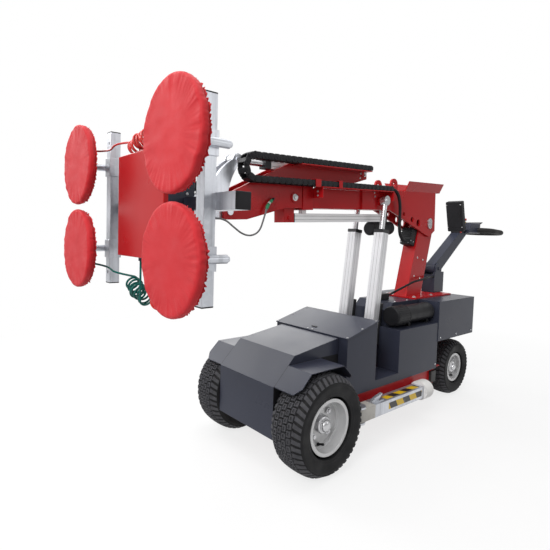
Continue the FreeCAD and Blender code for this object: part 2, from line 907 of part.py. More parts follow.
def document_tube():
    """Document tube with its ribbed cap, lying on the left battery box."""
    z = mid_top + clip_width / 2 + document_cap_radius
    x0 = document_front
    tube = bar(V(x0 + document_cap_length, -document_y, z), V(x0 + document_length, -document_y, z),
               document_radius)
    cap = bar(V(x0, -document_y, z), V(x0 + document_cap_length, -document_y, z), document_cap_radius)
    cap = cap.makeFillet(clip_width / 2, cap.Edges)
    clips = []
    for x in (x0 + document_cap_length + clip_width, x0 + document_length - 2 * clip_width):
        clips.append(block(x, x + clip_width, -document_y - document_radius / 2,
                           -document_y + document_radius / 2, mid_top, z).cut(
            bar(V(x - overrun, -document_y, z), V(x + clip_width + overrun, -document_y, z),
                document_radius)))
    return tube, cap, Part.makeCompound(clips)


def terminal_box():
    """Small terminal box on the centre cover in front of the mast."""
    body = block(terminal_front, terminal_front + terminal_length, -terminal_width / 2,
                 terminal_width / 2, tunnel_top, tunnel_top + terminal_height)
    return body.makeFillet(screw_head_height, body.Edges)


def bumpers():
    """Rubber stops at the rear ends of the skirts."""
    x1 = skirt_rear
    z0 = frame_low + frame_height / 2 - bumper_height / 2
    left = block(x1 - bumper_length, x1, -skirt_offset - bumper_depth, -skirt_offset, z0,
                 z0 + bumper_height)
    return Part.makeCompound([left, mirrored(left)])


def boom_outer():
    """Outer boom: tube with a front collar between two fork plates, with lugs, tray and chain rail."""
    tube = block(-boom_front, -boom_tube_rear, -boom_half, boom_half, boom_low, boom_top)
    collar = block(-boom_front, -boom_front + collar_length, -boom_half - collar_proud,
                   boom_half + collar_proud, boom_low - collar_proud, boom_top + collar_proud)
    points = [(-fork_front, boom_low), (-fork_step, boom_low), (-fork_throat, fork_throat_low),
              (0, -fork_belly), (fork_rear, -fork_heel), (fork_rear, fork_top), (-boom_tube_rear, fork_top),
              (-fork_step, boom_top), (-fork_front, boom_top)]
    plates = [side_profile(points, -fork_outer, -fork_inner), side_profile(points, fork_inner, fork_outer)]
    bridge = block(-boom_tube_rear, fork_rear, -fork_inner, fork_inner, fork_top - fork_plate, fork_top)
    whole = fused([tube, collar, bridge] + plates)
    bore = block(-boom_front - overrun, -boom_tube_rear + overrun, -boom_half + boom_wall,
                 boom_half - boom_wall, boom_low + boom_wall, boom_top - boom_wall)
    pin = cross_bar(0, 0, -fork_outer - overrun, fork_outer + overrun, pivot_radius + shaft_play)
    for ahead, height, radius in ((rear_hole_ahead, rear_hole_rise, rear_hole_radius),
                                  (middle_hole_ahead, middle_hole_rise, middle_hole_radius),
                                  (front_hole_ahead, front_hole_rise, front_hole_radius)):
        whole = whole.cut(cross_bar(-ahead, height, -fork_outer - overrun, fork_outer + overrun, radius))
    pieces = [whole.cut(bore).cut(pin), boom_tray(), chain_lower_rail()] + lifting_lugs() + lift_bosses()
    return on_boom(fused(pieces))


def lifting_lugs():
    """Two eye plates on the fork plates."""
    half = lug_width / 2
    z0 = fork_top - (fork_top - boom_top) * (lug_station - boom_tube_rear) / (fork_step - boom_tube_rear)
    lugs = []
    for y0 in (-fork_outer, fork_inner):
        eye = boom_lug_outline(half, z0)
        plate = moved(Part.Face(eye).extrude(V(0, lug_plate, 0)), V(0, y0, 0))
        hole = cross_bar(-lug_station, fork_top + lug_height - half, y0 - overrun, y0 + lug_plate + overrun,
                         lug_hole)
        lugs.append(plate.cut(hole))
    return lugs


def boom_lug_outline(half, z0):
    """Side outline of a lug: an upright with a round head on the fork plate's sloping edge."""
    rise = (fork_top - boom_top) / (fork_step - boom_tube_rear)
    low_front = V(-lug_station - half, 0, z0 - rise * half)
    low_rear = V(-lug_station + half, 0, z0 + rise * half)
    mid = fork_top + lug_height - half
    front, rear = V(-lug_station - half, 0, mid), V(-lug_station + half, 0, mid)
    top = V(-lug_station, 0, fork_top + lug_height)
    return Part.Wire([Part.makeLine(low_front, front), Part.Arc(front, top, rear).toShape(),
                      Part.makeLine(rear, low_rear), Part.makeLine(low_rear, low_front)])


def boom_tray():
    """Flared red tray on top of the fork."""
    base = block(-tray_front, tray_rear, -fork_outer, fork_outer, fork_top, fork_top + tray_plate)
    wings = []
    for sign in SIDES.values():
        y0, y1 = sign * fork_outer, sign * (fork_outer + tray_flare)
        low, high = fork_top, fork_top + tray_rise
        back = -sign * tray_plate
        section = [V(-tray_front, y0, low), V(-tray_front, y1, high), V(-tray_front, y1 + back, high),
                   V(-tray_front, y0 + back, low)]
        wings.append(slab(section, V(tray_front + tray_rear, 0, 0)))
    return fused([base] + wings)


def boom_inner():
    """Telescopic inner tube, running inside the outer boom."""
    inset = boom_wall + slide_play
    half, low, high = boom_half - inset, boom_low + inset, boom_top - inset
    outer = block(-boom_front - knuckle_gap, -inner_rear, -half, half, low, high)
    room = block(-boom_front, -inner_rear + overrun, -half + inner_wall, half - inner_wall,
                 low + inner_wall, high - inner_wall)
    return on_boom(outer.cut(room))


def nose():
    """Nose of the telescopic stage: cheek plates with fins on a knuckle, with the drive rods' holders."""
    rear = -boom_front - knuckle_gap
    points = [(-nose_front, nose_low), (-nose_flat_end, nose_low), (-knuckle_front, boom_low), (rear,
                                                                                                boom_low),
              (rear, fin_low), (-fin_rise_station, fin_low), (-fin_rear, fin_tail_low), (-fin_rear,
                                                                                         fin_top),
              (-fin_front, fin_top), (-nose_brow_station, nose_brow), (-nose_front, nose_chin)]
    cheeks = [side_profile(points, -nose_half, -nose_half + nose_plate),
              side_profile(points, nose_half - nose_plate, nose_half)]
    half = nose_half - nose_plate
    knuckle = block(-knuckle_front, rear, -half, half, boom_low, boom_top)
    web = side_profile([(-nose_flat_end, nose_low), (-knuckle_front, boom_low), (-knuckle_front,
                                                                                 boom_low + nose_plate),
                        (-nose_flat_end, nose_low + nose_plate)], -half, half)
    whole = fused(cheeks + [knuckle, web])
    tilt_bore = cross_bar(-tilt_axis_station, tilt_axis_rise, -nose_half - overrun, nose_half + overrun,
                          tilt_axis_radius + shaft_play)
    pieces = [whole.cut(tilt_bore), tele_bracket(), tele_rod(), chain_upper_rail(), tilt_rear_pin()]
    return on_boom(fused(pieces + stage_bolts()))


def stage_bolts():
    """Ring bolts on the cheeks at the knuckle."""
    x = -(knuckle_front + boom_front) / 2
    z = (boom_low + boom_top) / 2
    rings = []
    for y0, y1 in ((-nose_half - stage_bolt_proud, -nose_half), (nose_half, nose_half + stage_bolt_proud)):
        rings.append(cross_bar(x, z, y0, y1, stage_bolt_radius))
    return rings


def tele_bracket():
    """Bracket under the knuckle that holds the telescope drive's rod end."""
    half = tele_half + side_play
    low = tele_axis - tele_half
    rear = tele_front + tele_cap
    pieces = []
    for y0, y1 in ((-half - tele_bracket_plate, -half), (half, half + tele_bracket_plate)):
        pieces.append(block(-tele_bracket_front, -rear - side_play, y0, y1, low, boom_low))
    pieces.append(block(-tele_bracket_front, -tele_bracket_front + tele_bracket_plate, -half, half, low,
                        boom_low))
    pin_x = -(tele_bracket_front + rear) / 2
    reach = half + tele_bracket_plate + stage_bolt_proud
    pieces.append(cross_bar(pin_x, tele_axis, -reach, reach, tele_pin_radius))
    return fused(pieces)


def tele_rod():
    """Rod of the telescope drive, held by the bracket and running in the barrel."""
    front = -tele_bracket_front + tele_bracket_plate
    length = telescope_travel + tele_cap
    return bar(V(front, 0, tele_axis), V(-tele_front + length, 0, tele_axis), tele_rod_radius)


def tele_barrel():
    """Square barrel of the telescope drive with its end caps, hung from the boom."""
    y = tele_half
    z0, z1 = tele_axis - tele_half, tele_axis + tele_half
    barrel = block(-tele_front, -tele_rear, -y, y, z0, z1)
    bore = bar(V(-tele_front - tele_cap - overrun, 0, tele_axis), V(-tele_rear - tele_cap, 0, tele_axis),
               tele_rod_radius + slide_play)
    cap = block(-tele_front - tele_cap, -tele_front, -y, y, z0, z1).cut(bore)
    hangers = []
    for x, top in ((tele_front - 4 * tele_cap, boom_low - collar_proud), (tele_rear + 2 * tele_cap,
                                                                          boom_low)):
        hangers.append(block(-x, -x + 2 * tele_cap, -y / 2, y / 2, z1, top))
    return on_boom(fused([barrel.cut(bore), cap] + hangers))


def tele_motor():
    """Motor of the telescope drive, under the rear of its barrel."""
    z = tele_axis - tele_half - tele_motor_radius
    body = bar(V(-tele_motor_front, 0, z), V(-tele_motor_rear, 0, z), tele_motor_radius)
    body = body.makeFillet(tele_motor_radius / 4, body.Edges)
    gear = block(-tele_rear - 2 * tele_motor_radius, -tele_rear + tele_motor_radius, -tele_half, tele_half,
                 z, tele_axis - tele_half)
    return on_boom(fused([body, gear]))


def tilt_line():
    """Front pin, rear pin and direction of the tilt drive, on the level boom."""
    front = V(-tilt_pin_station, 0, tilt_pin_height)
    rear = V(-tilt_rear_station, 0, tilt_rear_height)
    return front, rear, (rear - front).normalize()


def along_tilt(shape):
    """A piece drawn along X from the tilt drive's front pin, laid on the drive's line."""
    front, rear, run = tilt_line()
    angle = math.degrees(math.atan2(front.z - rear.z, rear.x - front.x))
    return on_boom(moved(turned(shape, V(0, 0, 0), ALONG_Y, angle), front))


def tilt_length():
    """Distance between the tilt drive's pins."""
    front, rear, run = tilt_line()
    return (rear - front).Length


def tilt_barrel():
    """Barrel of the tilt drive with its front cap and the rear eye on the fin's pin."""
    x0 = tilt_pin_station - tilt_barrel_front
    x1 = tilt_length() - tilt_eye_radius
    barrel = block(x0, x1, -tilt_half, tilt_half, -tilt_half, tilt_half)
    bore = bar(V(x0 - tele_cap - overrun, 0, 0), V(x1 - tele_cap, 0, 0), tilt_rod_radius + slide_play)
    cap = block(x0 - tele_cap, x0, -tilt_half, tilt_half, -tilt_half, tilt_half)
    half = tilt_eye_width / 2
    eye = cross_bar(tilt_length(), 0, -half, half, tilt_eye_radius)
    eye = eye.fuse(block(x1, tilt_length(), -half, half, -half, half))
    pin = cross_bar(tilt_length(), 0, -tilt_half, tilt_half, tilt_pin_radius + shaft_play)
    return along_tilt(fused([barrel, eye, cap]).cut(bore).cut(pin))


def tilt_rear_pin():
    """Pin that holds the tilt drive's rear eye between the fins."""
    reach = nose_half + stage_bolt_proud
    return cross_bar(-tilt_rear_station, tilt_rear_height, -reach, reach, tilt_pin_radius)


def tilt_rod():
    """Rod of the tilt drive with the eye between the lever plates."""
    x0 = tilt_pin_station - tilt_barrel_front
    rod = bar(V(0, 0, 0), V(x0 + tilt_rod_inside, 0, 0), tilt_rod_radius)
    half = tilt_eye_width / 2
    return along_tilt(fused([rod, cross_bar(0, 0, -half, half, tilt_eye_radius)]))


def tilt_axis():
    """Place of the tilt pivot at rest."""
    return boom_point(tilt_axis_station, tilt_axis_rise)


def tilt_bracket():
    """Lever pair and back plate that carry the rotator and turn on the nose."""
    axis = tilt_axis()
    top = boom_point(tilt_pin_station, tilt_pin_height)
    plate_x = rotator_rear
    low, high = rotator_height - rotator_back_half, rotator_height + rotator_back_half
    pieces = [block(plate_x, plate_x + rotator_back_plate, -rotator_back_half, rotator_back_half, low,
                    high)]
    knee = V(axis.x - lever_boss, 0, high)
    for y0, y1 in ((-lever_inner - lever_plate, -lever_inner), (lever_inner, lever_inner + lever_plate)):
        pieces.append(cross_bar(axis.x, axis.z, y0, y1, lever_boss))
        foot = [(plate_x, axis.z - lever_boss), (axis.x, axis.z - lever_boss), (axis.x + lever_boss,
                                                                                axis.z),
                (axis.x, high), (plate_x, high)]
        pieces.append(side_profile(foot, y0, y1))
        pieces.append(moved(Part.Face(lever_outline(axis, top, high, plate_x)).extrude(V(0, y1 - y0, 0)),
                            V(0, y0, 0)))
        pieces.append(cross_bar(top.x, top.z, y0, y1, lever_top_radius))
    reach = nose_half + stage_bolt_proud
    pieces.append(cross_bar(axis.x, axis.z, -reach, reach, tilt_axis_radius))
    return fused(pieces + lever_caps())


def lever_outline(axis, top, low, front):
    """Curved lever from the bracket's top edge up to the drive's pin."""
    a = V(front, 0, low)
    b = V(top.x - lever_top_radius, 0, top.z)
    c = V(top.x + lever_top_radius, 0, top.z)
    d = V(axis.x, 0, low)
    sag = V(lever_boss / 3, 0, -lever_boss / 3)
    left = (a + b) / 2 - sag
    right = (c + d) / 2 - sag
    return Part.Wire([Part.Arc(a, left, b).toShape(), Part.makeLine(b, c), Part.Arc(c, right, d).toShape(),
                      Part.makeLine(d, a)])


def lever_caps():
    """Pin heads on the outer faces of the lever plates."""
    top = boom_point(tilt_pin_station, tilt_pin_height)
    outer = lever_inner + lever_plate
    heads = [cross_bar(top.x, top.z, y0, y1, tilt_pin_radius)
             for y0, y1 in ((-outer - stage_bolt_proud, -outer), (outer, outer + stage_bolt_proud))]
    return heads


def rotator():
    """Round bearing housing of the rotator with its index knob."""
    x0 = box_back + flange_plate + slide_play
    body = bar(V(x0, 0, rotator_height), V(rotator_rear, 0, rotator_height), rotator_radius)
    return fused([body, lock_knob()])


def rotator_flange():
    """Turning flange bolted to the suction frame."""
    return bar(V(box_back, 0, rotator_height), V(box_back + flange_plate, 0, rotator_height), flange_radius)


def lock_knob():
    """Index knob on top of the rotator housing."""
    z0 = rotator_height + math.sqrt(rotator_radius ** 2 - knob_radius ** 2)
    stem = upright(knob_station, 0, z0 - overrun, z0 + knob_height, knob_radius / 2)
    collar = upright(knob_station, 0, z0 + knob_height / 4, z0 + knob_height / 2,
                     knob_radius * knob_collar_share)
    cap = upright(knob_station, 0, z0 + knob_height / 2, z0 + knob_height, knob_radius * knob_cap_share)
    whole = fused([stem, collar, cap])
    return whole.cut(bar(V(knob_station - rotator_radius, 0, rotator_height),
                         V(knob_station + rotator_radius, 0, rotator_height), rotator_radius))


def square_tube(x, z, y0, y1, side, wall):
    """Square tube along Y."""
    half = side / 2
    room = half - wall
    outer = block(x - half, x + half, y0, y1, z - half, z + half)
    return outer.cut(block(x - room, x + room, y0 - overrun, y1 + overrun, z - room, z + room))


def crossbar():
    """Cross tube of the suction frame with the turning flange and the vacuum reservoir."""
    tube = square_tube(crossbar_station, rotator_height, -crossbar_half, crossbar_half, crossbar_side,
                       crossbar_wall)
    return fused([tube, rotator_flange(), vacuum_tank()])


def post():
    """Left post with the sleeve that grips the crossbar and the two clamped cup holders."""
    half, room = post_side / 2, post_side / 2 - post_wall
    y = -post_offset
    tube = block(post_station - half, post_station + half, y - half, y + half, post_low, post_high)
    sleeve = square_tube(crossbar_station, rotator_height, -sleeve_outer, -sleeve_inner, sleeve_side,
                         (sleeve_side - crossbar_side) / 2 - shaft_play)
    whole = fused([tube, sleeve] + [cup_slider(z) for z in cup_heights()])
    whole = whole.cut(block(post_station - room, post_station + room, y - room, y + room,
                            post_low - overrun, post_high + overrun))
    for z in (post_low + post_hole_drop, post_high - post_hole_drop):
        whole = whole.cut(bar(V(post_station - half - overrun, y, z), V(post_station, y, z), post_hole))
    return whole


def frame_caps():
    """Plastic plugs on the ends of the posts and sleeves."""
    half = post_side / 2
    y = -post_offset
    caps = [block(post_station - half, post_station + half, y - half, y + half, z0, z1)
            for z0, z1 in ((post_low - post_cap, post_low), (post_high, post_high + post_cap))]
    half = sleeve_side / 2
    end = block(crossbar_station - half, crossbar_station + half, -sleeve_outer - end_cap, -sleeve_outer,
                rotator_height - half, rotator_height + half)
    caps.append(end.makeFillet(screw_head_height, [e
                                                   for e in end.Edges if e.BoundBox.YMax < -sleeve_outer]))
    return Part.makeCompound(caps + [mirrored(c) for c in caps])


def vacuum_box():
    """Rear half of the vacuum housing, slotted for the crossbar."""
    front = box_face + box_cover_depth
    outer = block(front, box_back, -box_half, box_half, box_low, box_high)
    inner = block(front - overrun, box_back - sheet, -box_half + sheet, box_half - sheet, box_low + sheet,
                  box_high - sheet)
    half = crossbar_side / 2
    slot = block(crossbar_front, box_back + overrun, -box_half - overrun, box_half + overrun,
                 rotator_height - half, rotator_height + half)
    back = block(box_back - sheet, box_back, -flange_radius, flange_radius, rotator_height - half,
                 rotator_height + half)
    return outer.cut(inner).cut(slot.cut(back)).cut(back)


def box_cover():
    """Red front cover of the vacuum housing."""
    outer = block(box_face, box_face + box_cover_depth, -box_half, box_half, box_low, box_high)
    outer = outer.makeFillet(screw_head_height,
                             [e for e in outer.Edges if e.BoundBox.XMax < box_face + sheet])
    inner = block(box_face + sheet, box_face + box_cover_depth + overrun, -box_half + sheet,
                  box_half - sheet,
                  box_low + sheet, box_high - sheet)
    return outer.cut(inner)


def vacuum_tank():
    """Vacuum reservoir on the crossbar inside the housing."""
    z = rotator_height + crossbar_side / 2 + vacuum_tank_radius
    x = crossbar_front + crossbar_side / 2 - vacuum_tank_radius / 2
    return cross_bar(x, z, -vacuum_tank_half, vacuum_tank_half, vacuum_tank_radius / 2).fuse(
        block(x - vacuum_tank_radius / 4, crossbar_station, -vacuum_tank_half / 4, vacuum_tank_half / 4,
              rotator_height + crossbar_side / 2, z)).removeSplitter()


def cup_heights():
    """Heights of the lower and the upper cups."""
    return rotator_height - cup_drop, rotator_height + cup_rise


def cup_slider(z):
    """Sleeve that clamps round the left post, with the stem at its outer side."""
    half = post_side / 2 + slider_wall
    y = -post_offset
    z0, z1 = z - slider_length / 2, z + slider_length / 2
    sleeve = block(post_station - half, post_station + half, y - half, y + half, z0, z1)
    stem = bar(V(cup_plate_front + cup_plate, -stem_offset, z), V(stem_rear, -stem_offset, z), stem_radius)
    collar = bar(V(cup_plate_front + cup_plate, -stem_offset, z),
                 V(cup_plate_front + cup_plate + stem_collar_length, -stem_offset, z), stem_collar)
    stud = bar(V(stem_rear, -stem_offset, z), V(stem_rear + stem_end, -stem_offset, z), stem_end_radius)
    screw = bar(V(post_station - half - screw_head_height, y, z), V(post_station - half, y, z),
                screw_head_radius)
    return fused([sleeve, stem, collar, stud, screw])


def cup(z, port_sign):
    """Suction plate with its vacuum port and the rubber seal in front."""
    y = -stem_offset
    back = cup_plate_front + cup_plate
    plate = bar(V(cup_plate_front, y, z), V(back, y, z), cup_radius)
    port_z = z + port_sign * port_offset
    port = bar(V(back, y, port_z), V(back + port_length, y, port_z), port_radius)
    front = cup_plate_front - seal_depth
    seal = bar(V(front, y, z), V(cup_plate_front, y, z), cup_radius)
    seal = seal.cut(bar(V(front - overrun, y, z), V(cup_plate_front - slide_play, y, z),
                        cup_radius - seal_width))
    return fused([plate, port, seal])


def cup_cover(z):
    """Cloth cover drawn over the suction cup, gathered behind its rim."""
    y = -stem_offset
    back = cover_front + cover_depth
    outer = bar(V(cover_front, y, z), V(back, y, z), cover_radius)
    outer = outer.makeFillet(cover_round, [e for e in outer.Edges if e.BoundBox.XMax < back - sheet
                                           and e.BoundBox.YLength > cover_radius])
    room = bar(V(cover_front + cover_cloth, y, z), V(back - cover_cloth, y, z), cup_radius + slide_play)
    mouth = bar(V(cover_front + cover_cloth, y, z), V(back + overrun, y, z), cup_radius - cover_round)
    return outer.cut(room).cut(mouth)


def lift_line():
    """Rod pin of the lift drives at rest and the direction from the lower pivot to it."""
    top = boom_point(lift_pin_station, lift_pin_rise)
    return top, (top - lift_low).normalize(), (top - lift_low).Length


def along_lift(shape):
    """A piece drawn upwards from the lift drive's lower pivot, laid on the left drive's line."""
    top, run, length = lift_line()
    angle = math.degrees(math.atan2(run.x, run.z))
    return moved(turned(shape, V(0, 0, 0), ALONG_Y, angle), lift_low - ALONG_Y * lift_offset)


def lift_barrel():
    """Barrel of the left lift drive with its lower eye, top collar and motor."""
    low, top = lift_barrel_low, lift_line()[2] - lift_rod_shown
    barrel = block(-lift_half, lift_half, -lift_half, lift_half, low, top)
    barrel = barrel.makeFillet(screw_head_radius,
                               [e for e in barrel.Edges if e.BoundBox.ZLength > lift_half * 4])
    eye = cross_bar(0, 0, -lift_eye_half, lift_eye_half, lift_eye_radius)
    neck = block(-lift_eye_half, lift_eye_half, -lift_eye_half, lift_eye_half, 0, low)
    bore = upright(0, 0, low + lift_barrel_wall, top + lift_collar + overrun,
                   lift_rod_radius + slide_play)
    pin = cross_bar(0, 0, -lift_half, lift_half, lift_pin_radius + shaft_play)
    collar = block(-lift_half, lift_half, -lift_half, lift_half, top, top + lift_collar)
    motor_x = lift_half + lift_motor_radius
    motor_z = low + lift_motor_rise
    motor = upright(motor_x, 0, motor_z, motor_z + lift_motor_length, lift_motor_radius)
    motor = motor.makeFillet(screw_head_height, motor.Edges)
    gear = block(lift_half, motor_x, -lift_motor_radius / 2, lift_motor_radius / 2, low, motor_z)
    return along_lift(fused([barrel, eye, neck, collar, motor, gear]).cut(bore).cut(pin))


def lift_rod():
    """Rod of the left lift drive with the eye that lies beside the boom's boss."""
    length = lift_line()[2]
    low = lift_barrel_low + lift_barrel_wall + lift_rod_floor_gap
    rod = upright(0, 0, low, length, lift_rod_radius)
    eye = cross_bar(0, length, -lift_eye_half, lift_eye_half, lift_eye_radius)
    head = cross_bar(0, length, -lift_eye_half - stage_bolt_proud, -lift_eye_half, lift_pin_radius)
    return along_lift(fused([rod, eye, head]))


def lift_bosses():
    """Bosses on the boom's fork plates that face the rod eyes."""
    inner = lift_offset - lift_eye_half - side_play
    left = cross_bar(-lift_pin_station, lift_pin_rise, -inner, -fork_outer, lift_eye_radius)
    return [left, mirrored(left)]


def lift_foot():
    """Foot bracket of the left lift drive, with its pin, on the recess floor."""
    half = lift_eye_half + side_play
    x0, x1 = lift_low.x - lift_eye_radius, lift_low.x + lift_eye_radius
    pieces = []
    for y0, y1 in ((-lift_offset - half - foot_plate, -lift_offset - half),
                   (-lift_offset + half, -lift_offset + half + foot_plate)):
        pieces.append(block(x0, x1, y0, y1, sill_top, lift_low.z))
        pieces.append(cross_bar(lift_low.x, lift_low.z, y0, y1, lift_eye_radius))
    reach = half + foot_plate
    pieces.append(block(x0, x1, -lift_offset - half, -lift_offset + half, sill_top, sill_top + foot_plate))
    pieces.append(cross_bar(lift_low.x, lift_low.z, -lift_offset - reach, -lift_offset + reach,
                            lift_pin_radius))
    return fused(pieces)


def tiller_column():
    """Column on the kingpin with two ears for the tiller arm."""
    x0, x1 = wheelbase - column_length / 2, wheelbase + column_length / 2
    body = block(x0, x1, -column_half, column_half, deck_top + side_play, column_top)
    ears = []
    for y0, y1 in ((-column_half, -column_half + tiller_ear), (column_half - tiller_ear, column_half)):
        ears.append(cross_bar(tiller_pivot.x, tiller_pivot.z, y0, y1, tiller_ear_radius))
        ears.append(block(tiller_pivot.x - tiller_ear_radius, tiller_pivot.x + tiller_ear_radius, y0, y1,
                          column_top - tiller_ear, tiller_pivot.z))
    room = tiller_depth / 2 + 2 * side_play
    swing = block(x0 - overrun, x1 + overrun, -column_half + tiller_ear, column_half - tiller_ear,
                  tiller_pivot.z - room, column_top + overrun)
    whole = fused([body.cut(swing)] + ears)
    whole = whole.cut(bogie_pin_room())
    return fused([whole, tiller_pin()])


def bogie_pin_room():
    """Seat of the kingpin in the tiller column."""
    return upright(wheelbase, 0, deck_top, column_top - column_length / 2, kingpin_radius)


def tiller_pin():
    """Pin of the tiller arm in the column's ears."""
    reach = column_half + stage_bolt_proud
    return cross_bar(tiller_pivot.x, tiller_pivot.z, -reach, reach, tiller_pivot_radius)


def tiller_arm():
    """Tapered arm from the column up to the tiller head."""
    half, end = tiller_depth / 2, tiller_end_depth / 2
    inner = tiller_half
    beam = side_profile([(0, -half), (tiller_length, -end), (tiller_length, end), (0, half)], -inner, inner)
    knuckle = cross_bar(0, 0, -inner, inner, half)
    bore = cross_bar(0, 0, -inner - overrun, inner + overrun, tiller_pivot_radius + shaft_play)
    arm = fused([beam, knuckle]).cut(bore)
    placed = moved(turned(arm, V(0, 0, 0), ALONG_Y, -tiller_pitch), tiller_pivot)
    return placed.cut(tiller_head_block())


def tiller_head_block():
    """Head housing with its sloping nose."""
    points = [(head_front, head_nose), (head_front + head_nose_length, head_top), (head_rear, head_top),
              (head_rear, head_low), (head_front, head_low)]
    return side_profile(points, -head_half, head_half)


def tiller_head():
    """Head housing with loop handle and stop base, bored for the button and notched for the flap."""
    head = tiller_head_block()
    head = head.makeFillet(screw_head_radius, [e for e in head.Edges if e.BoundBox.YLength < side_play])
    bore = upright(stop_station, 0, head_top - stop_height - stop_travel, head_top + overrun,
                   stop_base_radius / 2 + slide_play)
    room = block(flap_station - flap_plate - side_play, head_rear + overrun, -flap_half - side_play,
                 flap_half + side_play,
                 flap_height - flap_plate - side_play, head_top + overrun)
    pin = cross_bar(flap_station, flap_height, -head_half, head_half, flap_pin_radius + shaft_play)
    return fused([head.cut(bore).cut(room).cut(pin), grip(), stop_button()[0]])


def grip():
    """Loop handle behind the tiller head."""
    x0, x1 = grip_front, grip_rear
    path = outline([V(x0, -grip_half, grip_height), V(x1, -grip_half, grip_height),
                    V(x1, grip_half, grip_height), V(x0, grip_half, grip_height)], grip_corner)
    start = path.Edges[1].Vertexes[0].Point
    run = path.Edges[1].Vertexes[1].Point - start
    ring = Part.Wire([Part.makeCircle(grip_radius, start, run)])
    loop = Part.Wire(path.Edges[1:] + path.Edges[:1]).makePipeShell([ring], True, False)
    tilted = turned(loop, V(x0, 0, grip_height), ALONG_Y, grip_slope)
    return tilted.cut(tiller_head_block())


def stop_button():
    """Yellow base and red mushroom button of the emergency stop."""
    z0 = head_top
    base = upright(stop_station, 0, z0, z0 + stop_base_height, stop_base_radius)
    bore = upright(stop_station, 0, z0 - overrun, z0 + stop_base_height + overrun,
                   stop_base_radius / 2 + slide_play)
    low = z0 + stop_base_height + stop_travel + side_play
    head = upright(stop_station, 0, low, low + stop_height, stop_radius)
    head = head.makeFillet(stop_height / 4, head.Edges)
    stem = upright(stop_station, 0, z0 - stop_height / 2, low + stop_height / 2, stop_base_radius / 2)
    return base.cut(bore), fused([head, stem])


def drive_flap():
    """Butterfly flap that sets the driving speed, hinged across the head."""
    shaft = cross_bar(flap_station, flap_height, -flap_half, flap_half, flap_plate)
    blade = side_profile([(flap_station, flap_height - flap_plate / 2),
                          (flap_station + flap_length, flap_height + flap_rise),
                          (flap_station + flap_length, flap_height + flap_rise + flap_plate / 2),
                          (flap_station, flap_height + flap_plate)], -flap_half, flap_half)
    pin = cross_bar(flap_station, flap_height, -head_half, head_half, flap_pin_radius)
    return fused([shaft, blade, pin])


def handset():
    """Control handset standing in its holder in front of the tiller head."""
    slab_box = block(-handset_depth / 2, handset_depth / 2, -handset_half, handset_half, 0, handset_height)
    slab_box = slab_box.makeFillet(screw_head_radius, slab_box.Edges)
    placed = moved(turned(slab_box, V(0, 0, 0), ALONG_Y, -handset_lean), V(handset_station, 0, handset_low))
    arm = tiller_arm()
    holder = block(handset_station - handset_depth / 2, head_front, -tiller_half, tiller_half,
                   head_low - tiller_depth / 2, handset_low + handset_depth / 2)
    return fused([placed, holder]).cut(arm).cut(tiller_head_block())


def outrigger_bracket():
    """Bracket on the left skirt with two ears and the upright pivot pin."""
    z0, z1 = outrigger_low, outrigger_low + outrigger_side
    x, y = outrigger_pivot_station, -outrigger_pivot_y
    half = outrigger_heel
    pieces = []
    for low, high in ((z0 - side_play - outrigger_ear, z0 - side_play), (z1 + side_play,
                                                                         z1 + side_play + outrigger_ear)):
        pieces.append(block(x - half, x + half, y, -skirt_offset, low, high))
        pieces.append(upright(x, y, low, high, half))
    pieces.append(block(x - half, x + half, -skirt_offset - outrigger_ear, -skirt_offset,
                        z0 - side_play - outrigger_ear, z1 + side_play + outrigger_ear))
    pieces.append(upright(x, y, z0 - side_play - 2 * outrigger_ear, z1 + side_play + 2 * outrigger_ear,
                          outrigger_pin_radius))
    return fused(pieces)


def outrigger_arm():
    """Square arm of the left outrigger with the stub for its roller."""
    x, y = outrigger_pivot_station, -outrigger_pivot_y
    half = outrigger_side / 2
    z0, z1 = outrigger_low, outrigger_low + outrigger_side
    end = x + outrigger_length
    tube = block(x, end, y - half, y + half, z0, z1)
    heel = upright(x, y, z0, z1, half)
    room = block(x + half, end - outrigger_wall, y - half + outrigger_wall, y + half - outrigger_wall,
                 z0 + outrigger_wall, z1 - outrigger_wall)
    z = z0 + half
    stub = bar(V(end - outrigger_wall, y, z), V(end + outrigger_roller_length - outrigger_wall, y, z),
               outrigger_stub_radius)
    bore = upright(x, y, z0 - overrun, z1 + overrun, outrigger_pin_radius + shaft_play)
    return fused([fused([tube, heel]).cut(room).cut(bore), stub, outrigger_latch()])


def outrigger_roller():
    """White roller on the arm's stub."""
    x0 = outrigger_pivot_station + outrigger_length + side_play
    y, z = -outrigger_pivot_y, outrigger_low + outrigger_side / 2
    x1 = x0 + outrigger_roller_length
    roller = bar(V(x0, y, z), V(x1, y, z), outrigger_roller_radius)
    roller = roller.makeFillet(outrigger_roller_round,
                               [e for e in roller.Edges if e.BoundBox.XMin > x1 - side_play])
    return roller.cut(bar(V(x0 - overrun, y, z), V(x1 - outrigger_wall, y, z),
                          outrigger_stub_radius + shaft_play))


def outrigger_latch():
    """Toggle clamp on top of the arm."""
    x0 = outrigger_pivot_station + outrigger_latch_station
    y = -outrigger_pivot_y
    z0 = outrigger_low + outrigger_side
    base = block(x0, x0 + outrigger_latch_length, y - outrigger_latch_width / 2,
                 y + outrigger_latch_width / 2,
                 z0, z0 + outrigger_wall)
    lever = side_profile([(x0, z0 + outrigger_wall), (x0 + outrigger_latch_length * latch_foot_share,
                                                      z0 + outrigger_wall),
                          (x0 + outrigger_latch_length, z0 + outrigger_latch_height * latch_tip_share),
                          (x0 + outrigger_latch_length * latch_knee_share, z0 + outrigger_latch_height)],
                         y - outrigger_latch_width / 4, y + outrigger_latch_width / 4)
    return fused([base, lever])


